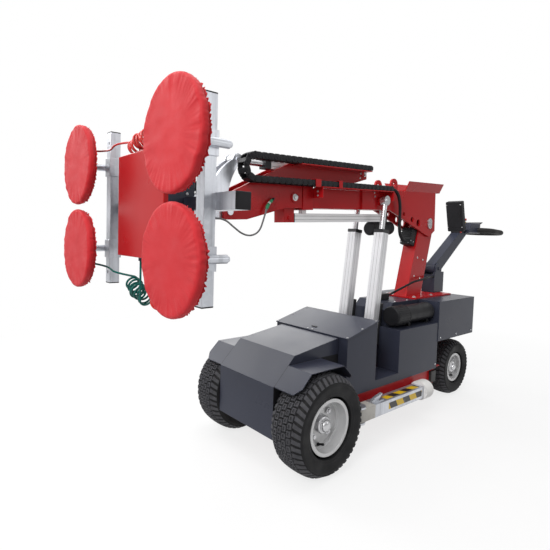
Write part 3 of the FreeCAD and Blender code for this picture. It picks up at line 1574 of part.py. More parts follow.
def energy_chain():
    """Looped energy chain on the left of the boom, as one band."""
    top = chain_low + 2 * (chain_height + chain_radius)
    mid = (chain_low + top) / 2
    outer = chain_height + chain_radius
    x = -chain_front
    up, low = -chain_upper_rear, -chain_lower_rear
    edges = [
        Part.makeLine(V(low, 0, chain_low), V(x, 0, chain_low)),
        Part.Arc(V(x, 0, chain_low), V(x - outer, 0, mid), V(x, 0, top)).toShape(),
        Part.makeLine(V(x, 0, top), V(up, 0, top)),
        Part.makeLine(V(up, 0, top), V(up, 0, top - chain_height)),
        Part.makeLine(V(up, 0, top - chain_height), V(x, 0, top - chain_height)),
        Part.Arc(V(x, 0, top - chain_height), V(x - chain_radius, 0, mid),
                 V(x, 0, chain_low + chain_height)).toShape(),
        Part.makeLine(V(x, 0, chain_low + chain_height), V(low, 0, chain_low + chain_height)),
        Part.makeLine(V(low, 0, chain_low + chain_height), V(low, 0, chain_low)),
    ]
    band = Part.Face(Part.Wire(edges)).extrude(V(0, chain_width, 0))
    return on_boom(moved(band, V(0, -chain_outer, 0)))


def chain_lower_rail():
    """Rail under the chain's lower run with two feet on the boom's side."""
    z0 = chain_low - chain_rail
    front, rear = -boom_front + collar_length + side_play, -chain_lower_rear
    pieces = [block(front, rear, -chain_outer, -fork_outer - slide_play, z0, chain_low)]
    for x, y in ((front, -boom_half), (rear - chain_rail, -fork_outer)):
        pieces.append(block(x, x + chain_rail, -chain_outer, y, boom_low + boom_height / 2, z0))
    return fused(pieces)


def chain_upper_rail():
    """Tray that carries the chain's upper run on the fin."""
    z1 = chain_low + chain_height + 2 * chain_radius
    return block(-fin_front, -chain_upper_rear, -chain_outer, -nose_half, z1 - chain_rail, z1)


def biarc(start, leaving, end, arriving):
    """Two arcs that leave one place and reach another along given directions."""
    gap = end - start
    both = leaving + arriving
    a = 2 * (1 - leaving.dot(arriving))
    b = 2 * gap.dot(both)
    c = gap.dot(gap)
    if abs(a) < tiny_share:
        reach = c / b
    else:
        reach = (math.sqrt(b * b + 4 * a * c) - b) / (2 * a)
    q0, q1 = start + leaving * reach, end - arriving * reach
    joint = (q0 + q1) / 2
    return [arc_from(start, leaving, joint), arc_from(joint, (q1 - q0).normalize(), end)]


def arc_from(start, leaving, end):
    """Arc from a place along a direction to another place."""
    chord = end - start
    across = chord - leaving * chord.dot(leaving)
    if across.Length < tiny_length:
        return Part.makeLine(start, end)
    inward = across.normalize()
    radius = chord.dot(chord) / (2 * chord.dot(inward))
    centre = start + inward * radius
    middle = (start + end) / 2 - centre
    if chord.dot(leaving) < 0:
        middle = middle * -1
    return Part.Arc(start, centre + middle.normalize() * radius, end).toShape()


def tube_along(edges, radius):
    """One unbroken tube of a radius along joined edges."""
    path = Part.Wire(edges)
    first = edges[0]
    start = first.valueAt(first.FirstParameter)
    run = first.tangentAt(first.FirstParameter)
    pipe = Part.BRepOffsetAPI.MakePipeShell(path)
    pipe.add(Part.Wire([Part.makeCircle(radius, start, run)]))
    pipe.build()
    pipe.makeSolid()
    return pipe.shape(), path


def coil_hose(port, first, last, quarters, fitting):
    """Curly hose from a right cup's port through a coil between two axis ends to its fitting."""
    axis = (last - first).normalize()
    up = (ALONG_Z - axis * axis.z).normalize()
    side = ALONG_X
    lead = V(hose_swing, -hose_lead, hose_lead_slope_share * (first.z - port.z))
    stops = [(port, ALONG_X), (port + ALONG_X * 2 * hose_radius, ALONG_X)]
    stops.append((stops[1][0] + lead, V(0, -hose_lead, lead.z).normalize()))
    pitch = (last - first).Length / quarters
    for i in range(quarters + 1):
        turn = math.pi * i / 2
        ring = up * math.cos(turn) + side * math.sin(turn)
        run = side * math.cos(turn) - up * math.sin(turn)
        slant = axis * (2 * pitch / (math.pi * hose_coil_radius))
        stops.append((first + axis * (pitch * i) + ring * hose_coil_radius, (run + slant).normalize()))
    down = ALONG_Z * (-1 if fitting.z < last.z else 1)
    stops += [(fitting - down * 2 * hose_radius, down), (fitting, down)]
    edges = []
    for (start, leaving), (end, arriving) in zip(stops, stops[1:]):
        edges += biarc(start, leaving, end, arriving)
    shape, path = tube_along(edges, hose_radius)
    print("hose", "length", round(path.Length), "least self gap", round(self_gap(path, hose_radius), 2),
          "fill", round(shape.Volume / (math.pi * hose_radius ** 2 * path.Length), 4))
    return shape


def self_gap(path, radius):
    """Least gap between two turns of a tube."""
    points = path.discretize(Distance=radius)
    skip = 8
    least = path.Length
    for i, a in enumerate(points):
        for b in points[i + skip:]:
            least = min(least, (a - b).Length)
    return least - 2 * radius


def hose_sets():
    """Name, cup height, port side, coil axis ends, quarter turns and fitting of the right hoses."""
    lower, upper = cup_heights()
    x = (box_face + box_back) / 2
    reach = hose_coil_radius
    return (
        ("upper", upper, 1, V(x, hose_coil_outer, box_high + hose_upper_start),
         V(x, hose_coil_inner, box_high + hose_upper_end), hose_upper_quarters,
         V(x + reach, hose_coil_inner, box_high + hose_fitting_height)),
        ("lower", lower, -1, V(x, hose_coil_outer, box_low - hose_lower_start),
         V(x, hose_coil_inner, box_low - hose_lower_end), hose_lower_quarters,
         V(x - reach, hose_coil_inner, box_low - hose_fitting_height)),
    )


def hose_fittings():
    """Push-in fittings on the housing for the four hoses."""
    pieces = []
    for name, height, sign, first, last, quarters, end in hose_sets():
        face = end - ALONG_Z * (sign * hose_fitting_height)
        right = bar(face, end, hose_fitting_radius)
        pieces += [right, mirrored(right)]
    return pieces


def hoses(nodes):
    """Curly hoses from the four cups to the housing."""
    back = cup_plate_front + cup_plate + port_length
    for name, height, sign, first, last, quarters, end in hose_sets():
        port = V(back, stem_offset, height + sign * port_offset)
        right = coil_hose(port, first, last, quarters, end)
        nodes[f"{name}_hose_right"] = right
        nodes[f"{name}_hose_left"] = mirrored(right)


def cord(name, points, radius):
    """Cable along straight runs joined by tangent bends."""
    runs = [b - a for a, b in zip(points, points[1:])]
    edges, radii, last = [], [], points[0]
    for corner, before, after in zip(points[1:], runs, runs[1:]):
        back = bend_share * min(before.Length, after.Length)
        u, w = before * (1 / before.Length), after * (1 / after.Length)
        half = u.getAngle(w) / 2
        bend = back / math.tan(half)
        radii.append(round(bend / (2 * radius), 1))
        start, end = corner - u * back, corner + w * back
        edges.append(Part.makeLine(last, start))
        edges.append(arc_from(start, u, end))
        last = end
    edges.append(Part.makeLine(last, points[-1]))
    shape, path = tube_along(edges, radius)
    print(name, "runs", [round(r.Length) for r in runs], "bends in diameters", radii,
          "fill", round(shape.Volume / (math.pi * radius ** 2 * path.Length), 4))
    return shape


def head_cable():
    """Cable that hangs from the nose to the tilt bracket on the left."""
    y = -nose_half - head_cable_gap
    axis = tilt_axis()
    return cord("head_cable", [V(axis.x + x, y + out, axis.z + z) for x, out, z in head_cable_route],
                cable_radius)


def boom_conduit():
    """Corrugated conduit from the chain's end down to the mast's connector housing."""
    start = boom_point(chain_lower_rear, chain_low + chain_height / 2)
    start.y = -(chain_inner + chain_outer) / 2
    along = boom_point(0, 0) - boom_point(conduit_lead, 0)
    points = [start, start + along] + [V(*place) for place in conduit_route]
    return cord("boom_conduit", points, conduit_radius)


def tiller_cable():
    """Cable from the terminal box past the mast to the tiller column."""
    start = V(terminal_front + terminal_length, 0, tunnel_top + terminal_height / 2)
    points = [start + V(*step) for step in tiller_cable_steps] + [V(*place) for place in tiller_cable_route]
    last = points[-1]
    points.append(V(wheelbase - column_length / 2, last.y, last.z))
    return cord("tiller_cable", points, lead_radius)


def build():
    """Every node by name, in stations from the front axle."""
    nodes = {}
    wheels(nodes)
    nodes["chassis_frame"] = chassis_frame()
    left_fender = fender()
    nodes["front_hood"] = fused([hood(), left_fender, mirrored(left_fender)])
    nodes["front_box"] = fused([front_box(), recess_tray()])
    nodes["front_lid"] = front_lid()
    nodes["side_boxes"] = Part.makeCompound([side_box(), mirrored(side_box())])
    nodes["centre_cover"] = tunnel()
    nodes["rear_cover"] = rear_box()
    nodes["mast"] = Part.makeCompound([fused([mast(), rear_deck()]), pivot_pin()])
    nodes["cable_boxes"] = Part.makeCompound([socket_box(), terminal_box()])
    nodes["document_tube"] = fused(document_tube())
    nodes["bumpers"] = bumpers()
    feet = [outrigger_bracket(), lift_foot()]
    nodes["side_brackets"] = Part.makeCompound(feet + [mirrored(f) for f in feet])
    nodes["steering_bogie"] = bogie()
    nodes["tiller_column"] = tiller_column()
    nodes["tiller_arm"] = tiller_arm()
    nodes["tiller_head"] = tiller_head()
    nodes["handset"] = handset()
    nodes["stop_button"] = stop_button()[1]
    nodes["drive_flap"] = drive_flap()
    nodes["boom_outer"] = boom_outer()
    nodes["tele_barrel"] = tele_barrel()
    nodes["tele_motor"] = tele_motor()
    nodes["boom_inner"] = boom_inner()
    nodes["boom_nose"] = nose()
    nodes["energy_chain"] = energy_chain()
    nodes["tilt_barrel"] = tilt_barrel()
    nodes["tilt_rod"] = tilt_rod()
    nodes["tilt_bracket"] = tilt_bracket()
    nodes["rotator"] = rotator()
    nodes["crossbar"] = crossbar()
    nodes["frame_posts"] = Part.makeCompound([post(), mirrored(post())])
    nodes["frame_caps"] = frame_caps()
    nodes["vacuum_box"] = fused([vacuum_box()] + hose_fittings())
    nodes["box_cover"] = box_cover()
    lower, upper = cup_heights()
    pads = [cup(lower, -1), cup(upper, 1)]
    nodes["suction_pads"] = Part.makeCompound(pads + [mirrored(p) for p in pads])
    for name, height in (("lower", lower), ("upper", upper)):
        left = cup_cover(height)
        nodes[f"{name}_covers"] = Part.makeCompound([left, mirrored(left)])
    for side in SIDES:
        nodes[f"lift_barrel_{side}"] = on_side(lift_barrel(), side)
        nodes[f"lift_rod_{side}"] = on_side(lift_rod(), side)
        nodes[f"outrigger_{side}"] = on_side(outrigger_arm(), side)
        nodes[f"roller_{side}"] = on_side(outrigger_roller(), side)
    hoses(nodes)
    nodes["head_cable"] = head_cable()
    nodes["boom_conduit"] = boom_conduit()
    nodes["tiller_cable"] = tiller_cable()
    return nodes


def middle_station():
    """Station halfway between the cup covers and the end of the loop handle."""
    return (cover_front + grip_rear + grip_radius) / 2


def export(nodes):
    """Write each node, moved so that the origin is under the machine's middle."""
    os.makedirs("parts", exist_ok=True)
    for name, shape in nodes.items():
        placed = moved(shape, V(-middle_station(), 0, 0))
        box = placed.BoundBox
        print(name, placed.isValid(), len(placed.Solids), round(placed.Volume / 1000),
              [round(v) for v in (box.XMin, box.XMax, box.YMin, box.YMax, box.ZMin, box.ZMax)])
        placed.exportStep(f"parts/{name}.step")
    print(len(nodes), "nodes, middle station", middle_station())


export(build())
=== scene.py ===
import json
from math import copysign, cos, hypot, pi, radians, sin, tau

import bpy
import numpy as np
from mathutils import Matrix, Vector, noise
from mathutils.bvhtree import BVHTree

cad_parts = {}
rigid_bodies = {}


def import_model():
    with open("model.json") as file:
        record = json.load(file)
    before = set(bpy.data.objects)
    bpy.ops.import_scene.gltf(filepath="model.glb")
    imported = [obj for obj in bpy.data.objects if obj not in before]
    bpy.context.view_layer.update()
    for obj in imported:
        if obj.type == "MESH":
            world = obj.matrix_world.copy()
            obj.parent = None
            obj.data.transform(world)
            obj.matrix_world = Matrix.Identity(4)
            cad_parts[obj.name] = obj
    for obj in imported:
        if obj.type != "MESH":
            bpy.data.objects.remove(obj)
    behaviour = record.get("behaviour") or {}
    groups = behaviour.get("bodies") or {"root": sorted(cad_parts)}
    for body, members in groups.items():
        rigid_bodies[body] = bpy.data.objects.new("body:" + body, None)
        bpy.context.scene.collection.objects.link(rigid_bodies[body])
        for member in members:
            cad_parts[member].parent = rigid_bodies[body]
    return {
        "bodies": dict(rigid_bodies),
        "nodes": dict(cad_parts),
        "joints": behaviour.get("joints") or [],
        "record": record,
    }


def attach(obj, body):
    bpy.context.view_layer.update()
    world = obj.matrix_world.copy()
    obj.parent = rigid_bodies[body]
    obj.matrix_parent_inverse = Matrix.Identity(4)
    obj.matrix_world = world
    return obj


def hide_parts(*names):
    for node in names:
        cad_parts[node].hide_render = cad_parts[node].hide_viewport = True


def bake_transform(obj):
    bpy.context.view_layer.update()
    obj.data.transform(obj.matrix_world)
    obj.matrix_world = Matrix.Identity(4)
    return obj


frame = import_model()
for name in ("Cube", "Light", "Camera"):
    if name in bpy.data.objects:
        bpy.data.objects.remove(bpy.data.objects[name])
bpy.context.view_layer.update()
nodes = frame["nodes"]
SIDES = (("left", -1), ("right", 1))
ORIGIN = 680  # station of the row frame's origin
PIVOT_S, PIVOT_Z = 1170, 1030  # the boom's pivot
BOOM_COS, BOOM_SIN = 0.999194, 0.040132  # of the boom's droop, 2.3 degrees
FRONT_RADIUS, REAR_RADIUS, WHEELBASE = 203, 165, 1345
CUP_SIDE = 373.5
BESIDE, BEYOND = 2000, 3000  # starts of lines that come from outside the machine
scene = bpy.context.scene


def placed(name, data):
    """New object in the scene."""
    obj = bpy.data.objects.new(name, data)
    scene.collection.objects.link(obj)
    return obj


def at(s, y, z):
    """Row-frame point of a station, a side and a height in millimetres."""
    return Vector(((s - ORIGIN) / 1000, y / 1000, z / 1000))


def boom_mm(x, h):
    """Station and height of boom coordinates in millimetres; x runs to the rear from the pivot."""
    return PIVOT_S + BOOM_COS * x - BOOM_SIN * h, PIVOT_Z + BOOM_SIN * x + BOOM_COS * h


def on_boom(x, y, h):
    """Row-frame point of boom coordinates and a side in millimetres."""
    s, z = boom_mm(x, h)
    return at(s, y, z)


# Camera and light

PHOTO, FOCAL, CENTRE_U, CENTRE_V = 550, 432.2256, 238.25, 256.67  # in pixels of the photo
SENSOR, EYE = 36, (-1.98063, -1.3765, 0.94406)
yaw, pitch, roll = (radians(d) for d in (-38.1646, -3.1119, 1.4771))
ahead = Vector((-sin(yaw) * cos(pitch), cos(yaw) * cos(pitch), sin(pitch)))
right = Vector((cos(yaw), sin(yaw), 0))
up = right.cross(ahead)
right, up = right * cos(roll) + up * sin(roll), up * cos(roll) - right * sin(roll)
lens = bpy.data.cameras.new("camera")
lens.sensor_width = SENSOR
lens.lens = SENSOR * FOCAL / PHOTO
lens.shift_x, lens.shift_y = (PHOTO / 2 - CENTRE_U) / PHOTO, -(PHOTO / 2 - CENTRE_V) / PHOTO
camera = placed("camera", lens)
axes = Matrix((right, up, -ahead)).transposed().to_4x4()
camera.matrix_world = Matrix.Translation(EYE) @ axes
bpy.context.scene.camera = camera
scene.view_settings.view_transform = "Standard"


def lamp(name, place, target, size, power):
    """Round lamp that shines from a place on a target, in metres and watts."""
    data = bpy.data.lights.new(name, "AREA")
    data.shape, data.size, data.energy = "DISK", size, power
    obj = placed(name, data)
    obj.location = place
    obj.rotation_mode = "QUATERNION"
    obj.rotation_quaternion = (Vector(target) - Vector(place)).to_track_quat("-Z", "Y")


lamp("key_light", (-4.6, -1.7, 3.5), (-0.2, 0, 0.7), 2.4, 150)
lamp("top_light", (-0.4, 0, 4.6), (0, 0, 0.5), 3, 62)
lamp("side_light", (2.2, -4.6, 2.4), (0.3, 0, 0.5), 2.2, 24)
lamp("back_light", (-2.1, 3.3, 3.3), (-0.5, 0, 0.5), 2.8, 92)
lamp("far_light", (2.4, 4, 2.6), (0, 0, 0.5), 2.4, 34)


# Materials


class Nodes:
    """Shader nodes of a material or world."""

    def __init__(self, holder):
        holder.use_nodes = True
        self.tree = holder.node_tree

    def add(self, kind, ins=None, **props):
        made = self.tree.nodes.new("ShaderNode" + kind)
        for key, value in props.items():
            setattr(made, key, value)
        for key, value in (ins or {}).items():
            self.put(made.inputs[key], value)
        return made

    def put(self, socket, value):
        if isinstance(value, bpy.types.NodeSocket):
            self.tree.links.new(value, socket)
        else:
            socket.default_value = value

    def math(self, op, a, b=0):
        return self.add("Math", {0: a, 1: b}, operation=op).outputs[0]

    def times(self, a, b):
        return self.math("MULTIPLY", a, b)

    def far(self, a, b):
        """Root of the sum of two squares."""
        return self.math("SQRT", self.math("ADD", self.times(a, a), self.times(b, b)))

    def span(self, value, low, high, a=0, b=1):
        return self.add("MapRange", {0: value, 1: low, 2: high, 3: a, 4: b}).outputs[0]


class Shade(Nodes):
    """Node material round one Principled shader; places are row-frame metres."""

    def __init__(self, name):
        self.material = bpy.data.materials.new(name)
        super().__init__(self.material)
        self.shader = self.tree.nodes["Principled BSDF"]
        self.place = self.add("TexCoord").outputs["Object"]
        self.x, self.y, self.z = self.add("SeparateXYZ", {0: self.place}).outputs

    def mix(self, share, a, b):
        return self.add("Mix", {0: share, 6: a, 7: b}, data_type="RGBA").outputs[2]

    def mid(self, share, a, b):
        return self.add("Mix", {0: share, 2: a, 3: b}).outputs[0]

    def mapped(self, scale):
        return self.add("Mapping", {0: self.place, 3: scale}).outputs[0]

    def noise(self, scale, detail, vector=None):
        ins = {"Vector": vector or self.place, "Scale": scale, "Detail": detail}
        return self.add("TexNoise", ins).outputs[0]

    def cells(self, scale, out="Color"):
        return self.add("TexVoronoi", {"Vector": self.place, "Scale": scale}).outputs[out]

    def shine(self, values):
        """Sets the shader's sockets."""
        for key, value in values.items():
            self.put(self.shader.inputs[key], value)

    def offsets(self, s, z):
        """Metres from a station and a height."""
        return self.math("SUBTRACT", self.x, (s - ORIGIN) / 1000), self.math("SUBTRACT", self.z, z / 1000)

    def line(self, s, z, way):
        """Millimetres along a line in the XZ plane from a point, and across it."""
        ds, dz = (self.times(d, 1000) for d in self.offsets(s, z))
        along = self.math("ADD", self.times(ds, way[0]), self.times(dz, way[1]))
        across = self.math("SUBTRACT", self.times(ds, way[1]), self.times(dz, way[0]))
        return along, across

    def near(self, value, centre, half):
        """1 where a value lies within half of a centre."""
        return self.math("LESS_THAN", self.math("ABSOLUTE", self.math("SUBTRACT", value, centre)), half)


def rgb(r, g, b):
    return (r, g, b, 1)


# A skin gives the colour, roughness, metal share and height of a material


def tones(m, colour, spread, scale):
    """A colour that wanders a little lighter and darker."""
    low = rgb(*(c * (1 - spread) for c in colour))
    high = rgb(*(min(1, c * (1 + spread)) for c in colour))
    return m.mix(m.span(m.noise(scale, 5), 0.3, 0.7), low, high)


def patch(m, scale, detail, low, high, a, b):
    """Value that goes from a to b where a noise goes from low to high."""
    return m.span(m.noise(scale, detail), low, high, a, b)


def coat(colour, spread, scale, rough, grain, dust=None, metal=0):
    """Skin of one colour; rough is a value or a patch, grain a noise, dust a patch and its colour."""
    def skin(m):
        shown = tones(m, colour, spread, scale)
        if dust:
            shown = m.mix(patch(m, *dust[:-1]), shown, rgb(*dust[-1]))
        return shown, patch(m, *rough) if isinstance(rough, tuple) else rough, metal, m.noise(*grain)
    return skin


red_paint = coat((0.47, 0.008, 0.011), 0.07, 2, (6, 6, 0.3, 0.75, 0.26, 0.36), (420, 2),
                 (9, 9, 0.6, 0.85, 0, 0.05, (0.4, 0.14, 0.12)))
dark_cover = coat((0.036, 0.04, 0.061), 0.08, 2.5, (5, 6, 0.3, 0.75, 0.27, 0.37), (1500, 2),
                  (8, 9, 0.6, 0.85, 0, 0.16, (0.1, 0.1, 0.108)))
soft_grip = coat((0.022, 0.021, 0.021), 0.2, 14, (25, 5, 0.3, 0.7, 0.55, 0.72), (900, 4))
# Tread blocks are lighter and bluer than the carcass: partly worn rubber, partly a painted highlight and
# reflection on the blocks
tread_rubber = coat((0.06, 0.06, 0.067), 0.22, 40, (18, 5, 0.3, 0.7, 0.5, 0.7), (600, 5),
                    (60, 9, 0.45, 0.8, 0, 0.35, (0.125, 0.121, 0.12)))
tyre_rubber = coat((0.012, 0.012, 0.013), 0.25, 7, (18, 5, 0.3, 0.7, 0.52, 0.74), (600, 5),
                   (26, 9, 0.5, 0.8, 0, 0.16, (0.055, 0.052, 0.05)))
pad_rubber = coat((0.02, 0.02, 0.02), 0.2, 9, (22, 4, 0.3, 0.7, 0.5, 0.66), (800, 3))
grey_paint = coat((0.56, 0.54, 0.5), 0.06, 6, (12, 3, 0.3, 0.7, 0.34, 0.5), (500, 3),
                  (22, 9, 0.6, 0.85, 0, 0.5, (0.3, 0.28, 0.25)))
yellow_plastic = coat((0.8, 0.5, 0.012), 0.08, 30, 0.36, (800, 2))
stop_red = coat((0.62, 0.012, 0.01), 0.08, 40, 0.28, (700, 2))
# Painted shade: dark lines on the barrels where their grooves lie in shade
painted_groove_shade = coat((0.42, 0.42, 0.43), 0.1, 9, 0.5, (500, 2), metal=0.5)
# Painted shade: near-black lines in the seams between the hood and its fenders
painted_seam_shade = coat((0.01, 0.01, 0.012), 0.1, 9, 0.7, (500, 2))


def tinted(colour, rough):
    """Skin of one smooth colour."""
    return coat(colour, 0.1, 24, (60, 3, 0.3, 0.7, rough - 0.06, rough + 0.08), (900, 2))


def galvanised(m):
    spangle = m.cells(55)
    grey = m.add("RGBToBW", {0: spangle}).outputs[0]
    streak = m.noise(6, 6, m.mapped((1, 1, 0.22)))
    tone = m.math("ADD", m.span(grey, 0, 1, -0.2, 0.2), m.span(streak, 0.3, 0.7, -0.3, 0.3))
    colour = m.mix(m.math("ADD", tone, 0.5), rgb(0.5, 0.52, 0.56), rgb(0.76, 0.78, 0.83))
    runs = m.span(m.noise(1, 4, m.mapped((46, 46, 3))), 0.52, 0.72, 0, 0.55)
    colour = m.mix(runs, colour, rgb(0.33, 0.34, 0.37))
    rough = m.math("ADD", m.span(grey, 0, 1, 0.29, 0.38), m.span(streak, 0.3, 0.7, -0.03, 0.06))
    height = m.math("ADD", m.span(grey, 0, 1, 0, 0.4), patch(m, 90, 3, 0.3, 0.7, 0, 0.6))
    return colour, rough, 0.78, height


def brushed(stretch, dark, light, metal):
    """Skin of brushed aluminium; the brush runs along the axis with the least stretch."""
    def skin(m):
        brush = m.noise(1, 3, m.mapped(stretch))
        colour = m.mix(m.span(brush, 0.3, 0.7), rgb(*dark), rgb(*light))
        return colour, m.span(brush, 0.3, 0.7, 0.34, 0.44), metal, brush
    return skin


anodised = brushed((1500, 1500, 14), (0.69, 0.69, 0.71), (0.8, 0.8, 0.82), 0.45)
anodised_level = brushed((14, 1500, 1500), (0.74, 0.74, 0.75), (0.84, 0.84, 0.85), 0.5)


def chrome(m):
    smear = m.noise(9, 3)
    colour = m.mix(m.span(smear, 0.35, 0.7), rgb(0.64, 0.64, 0.66), rgb(0.54, 0.54, 0.55))
    return colour, m.span(smear, 0.3, 0.75, 0.24, 0.32), 0.9, m.noise(60, 2)


def zinc(m):
    speck = m.noise(120, 4)
    colour = m.mix(m.span(speck, 0.3, 0.7), rgb(0.4, 0.41, 0.43), rgb(0.6, 0.6, 0.6))
    return colour, m.span(speck, 0.3, 0.7, 0.24, 0.38), 0.8, m.noise(500, 2)


def black_plastic(m):
    colour = tones(m, (0.011, 0.011, 0.013), 0.25, 9)
    return colour, patch(m, 20, 5, 0.3, 0.7, 0.4, 0.56), 0, m.cells(1400, out="Distance")


def rim_paint(m):
    flake = m.add("RGBToBW", {0: m.cells(2400)}).outputs[0]
    colour = m.mix(m.span(flake, 0, 1, 0.2, 0.8), rgb(0.54, 0.54, 0.55), rgb(0.7, 0.7, 0.7))
    dirt = patch(m, 16, 8, 0.55, 0.8, 0, 0.3)
    colour = m.mix(dirt, colour, rgb(0.2, 0.19, 0.175))
    return colour, patch(m, 12, 5, 0.3, 0.7, 0.32, 0.46), 0.4, m.noise(500, 2)


def white_nylon(m):
    colour = tones(m, (0.87, 0.86, 0.84), 0.04, 10)
    scuff = m.span(m.noise(1, 7, m.mapped((60, 12, 60))), 0.58, 0.8, 0, 0.25)
    return m.mix(scuff, colour, rgb(0.52, 0.5, 0.46)), 0.42, 0, m.noise(300, 4)


def stripes(m, across):
    """Slanted black and yellow tape along the machine; across is the axis that slants it."""
    slant = m.math("ADD", m.x, m.times(across, 0.6))
    wave = m.math("FRACT", m.times(slant, 1 / 0.112))
    band = m.math("GREATER_THAN", wave, 0.5)
    worn = patch(m, 40, 8, 0.62, 0.8, 0, 0.5)
    colour = m.mix(band, rgb(0.022, 0.02, 0.02), rgb(0.8, 0.52, 0.015))
    return m.mix(worn, colour, rgb(0.34, 0.32, 0.28)), 0.34, 0, m.noise(600, 2)


MAT = {}


def material(name, base, *zones, bump=0.1, deep=0.0002, edge=0.002, **values):
    """Material of one skin, with other skins inside zones and softly rounded edges."""
    m = Shade(name)
    colour, rough, metal, height = base(m)
    for where, skin in zones:
        share = where(m)
        c, r, k, h = skin(m)
        colour, rough = m.mix(share, colour, c), m.mid(share, rough, r)
        metal, height = m.mid(share, metal, k), m.mid(share, height, h)
    normal = m.add("Bump", {"Strength": bump, "Distance": deep, "Height": height})
    if edge:
        m.put(normal.inputs["Normal"], m.add("Bevel", {"Radius": edge}, samples=4).outputs[0])
    m.shine({"Base Color": colour, "Roughness": rough, "Metallic": metal, "Normal": normal.outputs[0],
             **values})
    MAT[name] = m.material


def cloth_material(name):
    """Woven nylon with a fine plain weave, soft sheen and faint creases; the threads carry a painted
    highlight and the creases painted shade.
    """
    m = Shade(name)
    threads = {"Vector": m.place, "Scale": 260, "Distortion": 0.4}
    warp, weft = (m.add("TexWave", threads, bands_direction=way).outputs["Fac"] for way in "YZ")
    weave = m.times(warp, weft)
    crease = m.noise(16, 6, m.mapped((1, 1, 1.7)))
    base = tones(m, (0.57, 0.01, 0.017), 0.07, 6)
    # Painted highlight: the weave's raised threads are lighter
    colour = m.mix(m.span(weave, 0, 1, 0, 0.3), base, rgb(0.64, 0.026, 0.036))
    # Painted shade: the cloth is darker along the creases
    colour = m.mix(m.span(crease, 0.58, 0.85, 0, 0.25), colour, rgb(0.36, 0.01, 0.017))
    height = m.math("ADD", m.times(weave, 0.35), m.times(crease, 1.2))
    normal = m.add("Bump", {"Strength": 0.5, "Distance": 0.0012, "Height": height}).outputs[0]
    m.shine({"Base Color": colour, "Roughness": m.span(crease, 0.3, 0.7, 0.62, 0.8), "Normal": normal,
             "Sheen Weight": 0.05, "Sheen Roughness": 0.4})
    MAT[name] = m.material


# A zone gives 1 inside it and 0 outside, and is set in millimetres


def hub_zone(s, z, radius):
    """Zone round an axis along Y."""
    return lambda m: m.math("LESS_THAN", m.far(*m.offsets(s, z)), radius / 1000)


def box_zone(s=None, out=None, z=None):
    """Zone inside ranges of station, distance from the middle and height."""
    def where(m):
        mask = 1
        for axis, span, shift in ((m.x, s, ORIGIN), (m.math("ABSOLUTE", m.y), out, 0), (m.z, z, 0)):
            for op, limit in zip(("GREATER_THAN", "LESS_THAN"), span or ()):
                mask = m.times(mask, m.math(op, axis, (limit - shift) / 1000))
        return mask
    return where


def slots(s, z, way, middle, off, half, side=0):
    """Zone of the grooves along a square barrel, two on each of its four faces, which get painted shade."""
    def where(m):
        across = m.math("ABSOLUTE", m.math("SUBTRACT", m.line(s, z, way)[1], middle))
        wide = m.math("ABSOLUTE", m.math("SUBTRACT", m.times(m.math("ABSOLUTE", m.y), 1000), side))
        return m.math("MAXIMUM", m.near(across, off, half), m.near(wide, off, half))
    return where


def beyond(s, z, way, low, high, across=False):
    """Zone between two lengths along a line, or across it."""
    def where(m):
        value = m.line(s, z, way)[1 if across else 0]
        return m.near(value, (low + high) / 2, (high - low) / 2)
    return where


# Start and direction of the drives and the boom
LIFT = (566, 330, (0.123555, 0.992338))
TILT = (-257.2, 1230.9, (0.999697, 0.024637))
BOOM = (PIVOT_S, PIVOT_Z, (BOOM_COS, BOOM_SIN))

# Zones where nodes wear a second look
# The lift, tele and tilt groove zones get painted shade along the barrels' grooves
lift_groove_shade, tele_groove_shade = slots(*LIFT, 0, 9.5, 1.1, 82), slots(*BOOM, -32, 8, 1.3)
tilt_groove_shade, tilt_cap = slots(*TILT, 0, 8, 1.3), beyond(*TILT, 140, 186)
lift_collar, lift_motor = beyond(*LIFT, 638.6, 700), beyond(*LIFT, 28, 90, True)
tele_front, tele_rear = beyond(*BOOM, -1120, -1092), beyond(*BOOM, -399, -370)
index_knob, bar_ends, brackets = box_zone(z=(1087, 1200)), box_zone(out=(176, 500)), box_zone((100, 420))
pin_ends = box_zone((1130, 1210), (53.4, 120), (970, 1090))
# Painted shade in the seam gaps beside the hood
hood_seam_shade = box_zone(out=(175.2, 177), z=(100, 425))
front_hub, rear_hub = hub_zone(0, FRONT_RADIUS, 37), hub_zone(WHEELBASE, REAR_RADIUS, 30)
loop_rear, loop_sides = box_zone((1842, 2200)), box_zone(out=(62.3, 200))
stop_base = box_zone((1703, 1741), (-19, 19), (1052.4, 1070))
arm_heel, side_tape = box_zone((200, 352)), box_zone((455, 742), (286.2, 300), (156, 186))
top_tape = box_zone((455, 742), (246, 276), (199.2, 205))

DULL, SATIN, GLOSS = {"Specular IOR Level": 0.2}, {"Specular IOR Level": 0.24}, {"Coat Weight": 0.3}
BRUSHED, SHEET = dict(deep=0.00005), dict(bump=0.3, deep=0.0001, edge=0.0025)

